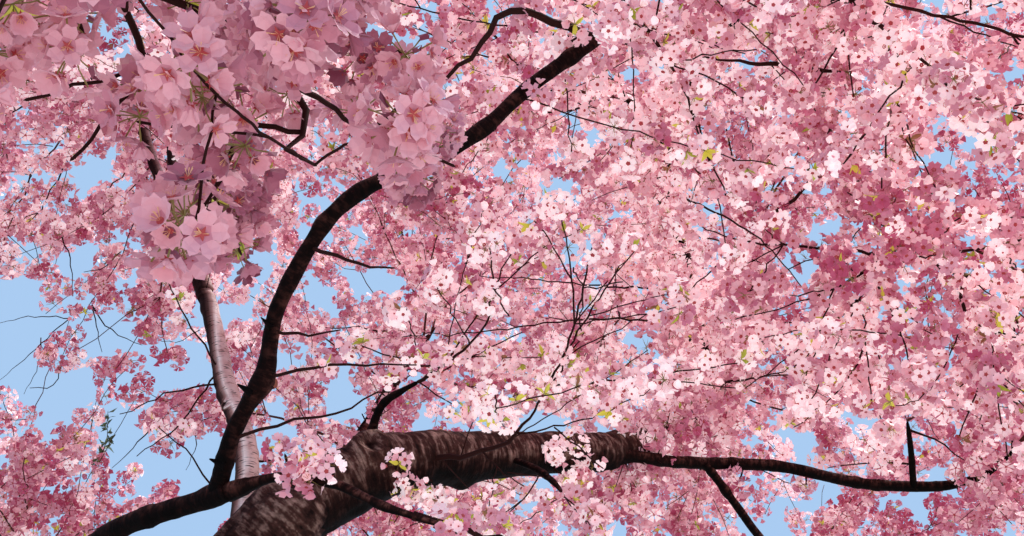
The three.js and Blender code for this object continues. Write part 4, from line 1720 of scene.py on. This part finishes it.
random = np.random.default_rng(SEED + 2)
thin_points = [points_on(twig) for twig in twigs if twig["mark"] != "bare"]
tips = np.array([points[-1] for points in thin_points])
thin_points = np.vstack(thin_points)
bases = []
for number, mass in enumerate(masses.values()):
    mine = thin_points[thin_points[:, 6] == number]
    my_tips = tips[tips[:, 6] == number]
    wanted = int(mass["volume"] * BUNCHES[mass["kind"]] + EXTRA_BUNCHES * sum(extra_mass == number))
    wanted = max(0, wanted - len(my_tips))
    bases += [spread_over(mine, wanted, random), my_tips]
bases = np.vstack(bases)
spur = unit(np.cross(bases[:, 3:6], random.normal(0, 1, (len(bases), 3))) + SPUR_AHEAD * bases[:, 3:6])
level = kind_of(bases[:, :3], MIDDLE_LIMIT)
bases[:, :3] += spur * np.array([SPUR_LENGTH[kind] for kind in range(4)])[level][:, None]
clear = clear_of_sight(bases[:, :3], level) | (bases[:, 7] > 0)
mass_kinds = np.array([mass["kind"] for mass in masses.values()])
unseen = (level == OUTER) & (mass_kinds[bases[:, 6].astype(int)] < OUTER)
free = clear & ~in_sky(bases[:, :3]) & ~((level == NEAR) & in_sky(bases[:, :3], 1.0, NEAR_GAPS))
free &= ~(unseen & (random.random(len(bases)) > UNSEEN_SHARE))
bases, spur, level = bases[free], spur[free], level[free]
homes = bases[:, 6].astype(int)
print("bunches:", len(bases), "by distance", dict(Counter(level.tolist())))

# %% [markdown]
# ## Petal colours
#
# The petals fade from nearly white to deep pink, and a bunch is all of one tint. A mass has its own
# tint, partly real and partly painted shade, deeper for masses deep in the crown. A slow noise drifts
# the tint from place to place, and every bunch strays a little. Places in the picture are painted
# deeper where the crown is in shade and paler where it is lit, beside a real deep pink patch at the
# right. The blossom hanging close over the camera is in its own shade, so it takes a mauve scale. A
# slight glow stands for the light that real petals let through.

# %% Petal finishes
PINK_GLOWS = (0.3, 0.23, 0.15, 0.1, 0.09, 0.1)
MAUVE_GLOWS = (0.14, 0.12, 0.1, 0.08)
PINKS = (
    (253, 231, 233), (247, 209, 214), (236, 183, 193), (220, 152, 170), (206, 118, 145), (190, 78, 114),
)
MAUVES = ((216, 154, 168), (194, 122, 141), (168, 92, 114), (132, 60, 84))
petal_finishes = [
    make_plain(f"petal_{number}", colour, 0.6, glow, 0.3)
    for number, (colour, glow) in enumerate(zip(PINKS + MAUVES, PINK_GLOWS + MAUVE_GLOWS))
]
small_finishes = [
    make_plain("throat", (168, 58, 62), 0.6, 0.12),
    make_plain("stamen", (222, 170, 130), 0.5, 0.1),
    make_plain("stalk", (136, 122, 66), 0.6, 0.05),
    make_plain("bud_case", (150, 74, 74), 0.6, 0.1),
]
BLOSSOM_FINISHES = petal_finishes + small_finishes
print(len(BLOSSOM_FINISHES), "finishes for the blossom")

# %% Tints of the bunches
# Each mass's tint is partly its own colour and partly painted shade: masses deep in the crown or far behind
# it take deeper tints.
MASS_TINTS_AND_SHADE = {
    "middle_spray": 1.5, "under_bough_spray": 1.5, "over_bough_blossom": 2.1, "front_canopy": 2.2,
    "right_canopy": 2.3, "leader_blossom": 3.0, "inner_blossom": 3.0, "skirt_blossom_1": 3.2,
    "skirt_blossom_2": 3.5, "skirt_blossom_3": 3.2, "skirt_blossom_4": 3.5,
}
OTHER_TINT = 2.55
DRIFT = 1.1
DRIFT_LENGTH = 0.9
STRAY = 0.95
# Places whose tint is deepened or paled. The deep pink patch at the right is the blossom's own colour. The
# others are painted shade where the crown is shaded, and painted light where it is lit.
TINT_LIGHT_AND_SHADE_PLACES = table(
    "middle half deeper",
    ((930, 225), (90, 45), 1.7),
    ((560, 150), (100, 130), -0.8),
    ((740, 400), (280, 70), -0.7),
    ((980, 40), (110, 70), -0.3),
    ((860, 515), (160, 40), 0.9),
    ((60, 480), (110, 60), 0.6),
    ((90, 300), (130, 90), 0.7),
    ((560, 250), (90, 90), 0.4),
    ((970, 390), (90, 110), 1.3),
    ((700, 490), (70, 50), -1.1),
    ((970, 500), (80, 50), 0.6),
)


def finish_table():
    """The finish of each kind of face, for each tint."""
    rows = []
    throat = len(petal_finishes)
    for tint in range(throat):
        low, high = (0, len(PINKS) - 1) if tint < len(PINKS) else (len(PINKS), throat - 1)
        # The paler column paints sunlit flowers, and the heart's deeper column also paints shaded ones.
        petal, light, heart, bud = tint, max(tint - 2, low), min(tint + 1, high), min(tint + 3, high)
        rows.append([petal, light, heart, throat, throat + 1, throat + 2, bud])
    return np.array(rows)


def deal_tints(spots, homes, random):
    """A tint for every bunch."""
    base = np.array([MASS_TINTS_AND_SHADE.get(node, OTHER_TINT) for node in mass_names])[homes]
    drift = np.array([noise.noise(Vector(spot) / DRIFT_LENGTH) for spot in spots]) * 2 * DRIFT
    u, v, distance = to_pixels(spots)
    tint = base + drift + random.normal(0, STRAY, len(spots))
    # Places in the picture deepen the tint, as the blossom's own colour or as painted shade, or pale it as
    # painted light.
    for spot in TINT_LIGHT_AND_SHADE_PLACES:
        tint += spot["deeper"] * np.exp(-ellipse_reach(u, v, spot)) * (distance > 0)
    tint = np.clip(np.round(tint), 0, len(PINKS) - 1).astype(int)
    shaded = homes == mass_names.index("near_spray")
    return np.where(shaded, len(PINKS) + np.clip(tint - 1, 0, len(MAUVES) - 1), tint)


tints = deal_tints(bases[:, :3], homes, random)
print("tints:", dict(Counter(tints.tolist())))

# %% [markdown]
# Thousands of objects would be slow, so the bunches are joined into a few meshes. Arrays turn, size
# and move the corners of all copies of a bunch at once. Masses are put together, one after the
# other, for as long as their piece stays below a limit of triangles.

# %% Stamp the bunches and join them mass by mass
PIECE_LIMIT = 190000
TILT = 0.25
SIZE_RANGE = (0.86, 1.12)
FULL_SIZE_FROM = 2.7
SMALLEST = 0.65


def deal(spots, aims, random):
    """A turn, size and style for a copy at every place."""
    tilted = unit(aims + random.normal(0, TILT, aims.shape))
    return {
        "spots": spots,
        "rotations": turned_to(tilted, random.random(len(spots)) * 2 * math.pi),
        "sizes": random.uniform(*SIZE_RANGE, len(spots)),
        "styles": random.integers(0, STYLES, len(spots)),
    }


def stamped(masters, dealt, chosen, kinds, colours):
    """Copies of the masters at the chosen places, as parts to join; colours has a row for each place."""
    parts = []
    for kind in sorted(set(kinds[chosen])):
        for style, (corners, faces, numbers) in enumerate(masters[kind]):
            those = chosen[(kinds[chosen] == kind) & (dealt["styles"][chosen] == style)]
            if not len(those):
                continue
            turned = np.einsum("nij,vj->nvi", dealt["rotations"][those], corners)
            turned *= dealt["sizes"][those, None, None]
            turned += dealt["spots"][those, None]
            offsets = np.arange(len(those)) * len(corners)
            joined = faces[None] + offsets[:, None, None]
            parts.append((turned.reshape(-1, 3), joined.reshape(-1, 3), colours[those][:, numbers].ravel()))
    return parts


def place_blossom(number, nodes, parts):
    """One piece of blossom, which takes the places of some masses."""
    piece = place_arrays(f"blossom_{number}", join_arrays(parts), BLOSSOM_FINISHES, False)
    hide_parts(*nodes)


number, nodes, waiting = 1, [], []
dealt = deal(bases[:, :3], spur, random)
closeness = np.abs(to_pixels(bases[:, :3])[2]) / FULL_SIZE_FROM
dealt["sizes"] *= np.clip(closeness, SMALLEST, 1)**(level == CANOPY)
petal_colours = finish_table()[tints]
for home, node in enumerate(mass_names):
    parts = stamped(bunches, dealt, np.flatnonzero(homes == home), level, petal_colours)
    if sum(len(part[1]) for part in waiting + parts) > PIECE_LIMIT:
        place_blossom(number, nodes, waiting)
        number, nodes, waiting = number + 1, [], []
    nodes.append(node)
    waiting += parts
place_blossom(number, nodes, waiting)

# %% [markdown]
# ## Young leaves
#
# A few leaves break from the buds while the tree is in flower. They are narrow, folded along the
# middle and pale green or bronze. They stand in small tufts beside the bunches, mostly over the great
# bough, and one darker sprig shows against the sky at the left.

# %% One leaf
LEAF_ROWS = (0.0, 0.14, 0.18, 0.11, 0.0)
LEAF_LENGTH = {NEAR: 0.030, CANOPY: 0.040, CROWN: 0.044, OUTER: 0.05}
LEAF_FOLD, LEAF_DROOP = 0.45, 0.25
LEAF_FINISHES = [
    make_plain("leaf_pale", (212, 208, 78), 0.5, 0.22),
    make_plain("leaf_green", (172, 182, 58), 0.5, 0.18),
    make_plain("leaf_bronze", (158, 112, 74), 0.5, 0.1),
    make_plain("leaf_dark", (74, 98, 62), 0.5, 0.03),
]


def make_leaf(kind):
    """A folded leaf along +X, one long, as a bmesh."""
    rows = LEAF_ROWS if kind < CROWN else LEAF_ROWS[::2]
    last = len(rows) - 1
    leaf = bmesh.new()
    bmesh.ops.create_grid(leaf, x_segments=last, y_segments=2 if kind < CROWN else 1, size=1)
    for corner in leaf.verts:
        share = (corner.co.x + 1) / 2
        side = corner.co.y
        droop = -LEAF_DROOP * share**2
        width = rows[round(share * last)]
        corner.co = (share, width * side, droop + LEAF_FOLD * abs(side) * width)
    bmesh.ops.remove_doubles(leaf, verts=leaf.verts, dist=MERGE_GAP)
    return leaf


# %% Tufts of leaves
TUFT_LEAVES = (2, 5)
LEAF_SIZES = (0.6, 1.1)
LEAF_RISE = (0.5, 1.6)
LEAF_STRAY = 0.3


def make_tuft(kind, style):
    """Two to four leaves from one bud, opening towards +Z, as arrays."""
    random = np.random.default_rng(SEED * 1000 + kind * 10 + style)
    parts = []
    for number in range(random.integers(*TUFT_LEAVES)):
        corners, faces, numbers = as_arrays(make_leaf(kind))
        turn = number * GOLDEN_TURN + random.normal(0, LEAF_STRAY)
        aim = unit(np.array([math.cos(turn), math.sin(turn), random.uniform(*LEAF_RISE)]))
        side = unit(np.cross((0, 0, 1), aim))
        rotation = np.stack([aim, side, np.cross(aim, side)], axis=1)
        corners = corners @ rotation.T * LEAF_LENGTH[kind] * random.uniform(*LEAF_SIZES)
        parts.append((corners, faces, numbers))
    return join_arrays(parts)


# %% Leaves by the bunches, and the dark sprig
LEAF_SHARE = {NEAR: 0.25, CANOPY: 0.3, CROWN: 0.2, OUTER: 0.18}
LEAFY_PLACE = (380, 340, 620, 536)
LEAFY_SHARE = 0.8
LEAF_TONE_SHARES = (0.5, 0.33, 0.17)
SPRIG_PACE = 2
SPRIG_SIZE = 1.5

tufts = {kind: [make_tuft(kind, style) for style in range(STYLES)] for kind in LEAF_LENGTH}
u, v, distance = to_pixels(bases[:, :3])
leafy = in_window(u, v, distance, LEAFY_PLACE)
share = np.where(leafy, LEAFY_SHARE, np.array([LEAF_SHARE[kind] for kind in range(4)])[level])
leafed = np.flatnonzero(random.random(len(bases)) < share)
tones = random.choice(3, len(bases), p=LEAF_TONE_SHARES)
parts = stamped(tufts, dealt, leafed, level, tones[:, None])
sprig = points_on(next(twig for twig in twigs if twig["mark"] == "bare"))[::SPRIG_PACE]
sprig_kinds = np.full(len(sprig), CROWN)
sprig_dealt = deal(sprig[:, :3], random.normal(0, 1, (len(sprig), 3)), random)
sprig_dealt["sizes"] *= SPRIG_SIZE
parts += stamped(tufts, sprig_dealt, np.arange(len(sprig)), sprig_kinds, np.full((len(sprig), 1), 3))
print(len(leafed), "tufts by the bunches and", len(sprig), "on the dark sprig")
leaves = place_arrays("young_leaves", join_arrays(parts), LEAF_FINISHES, False)
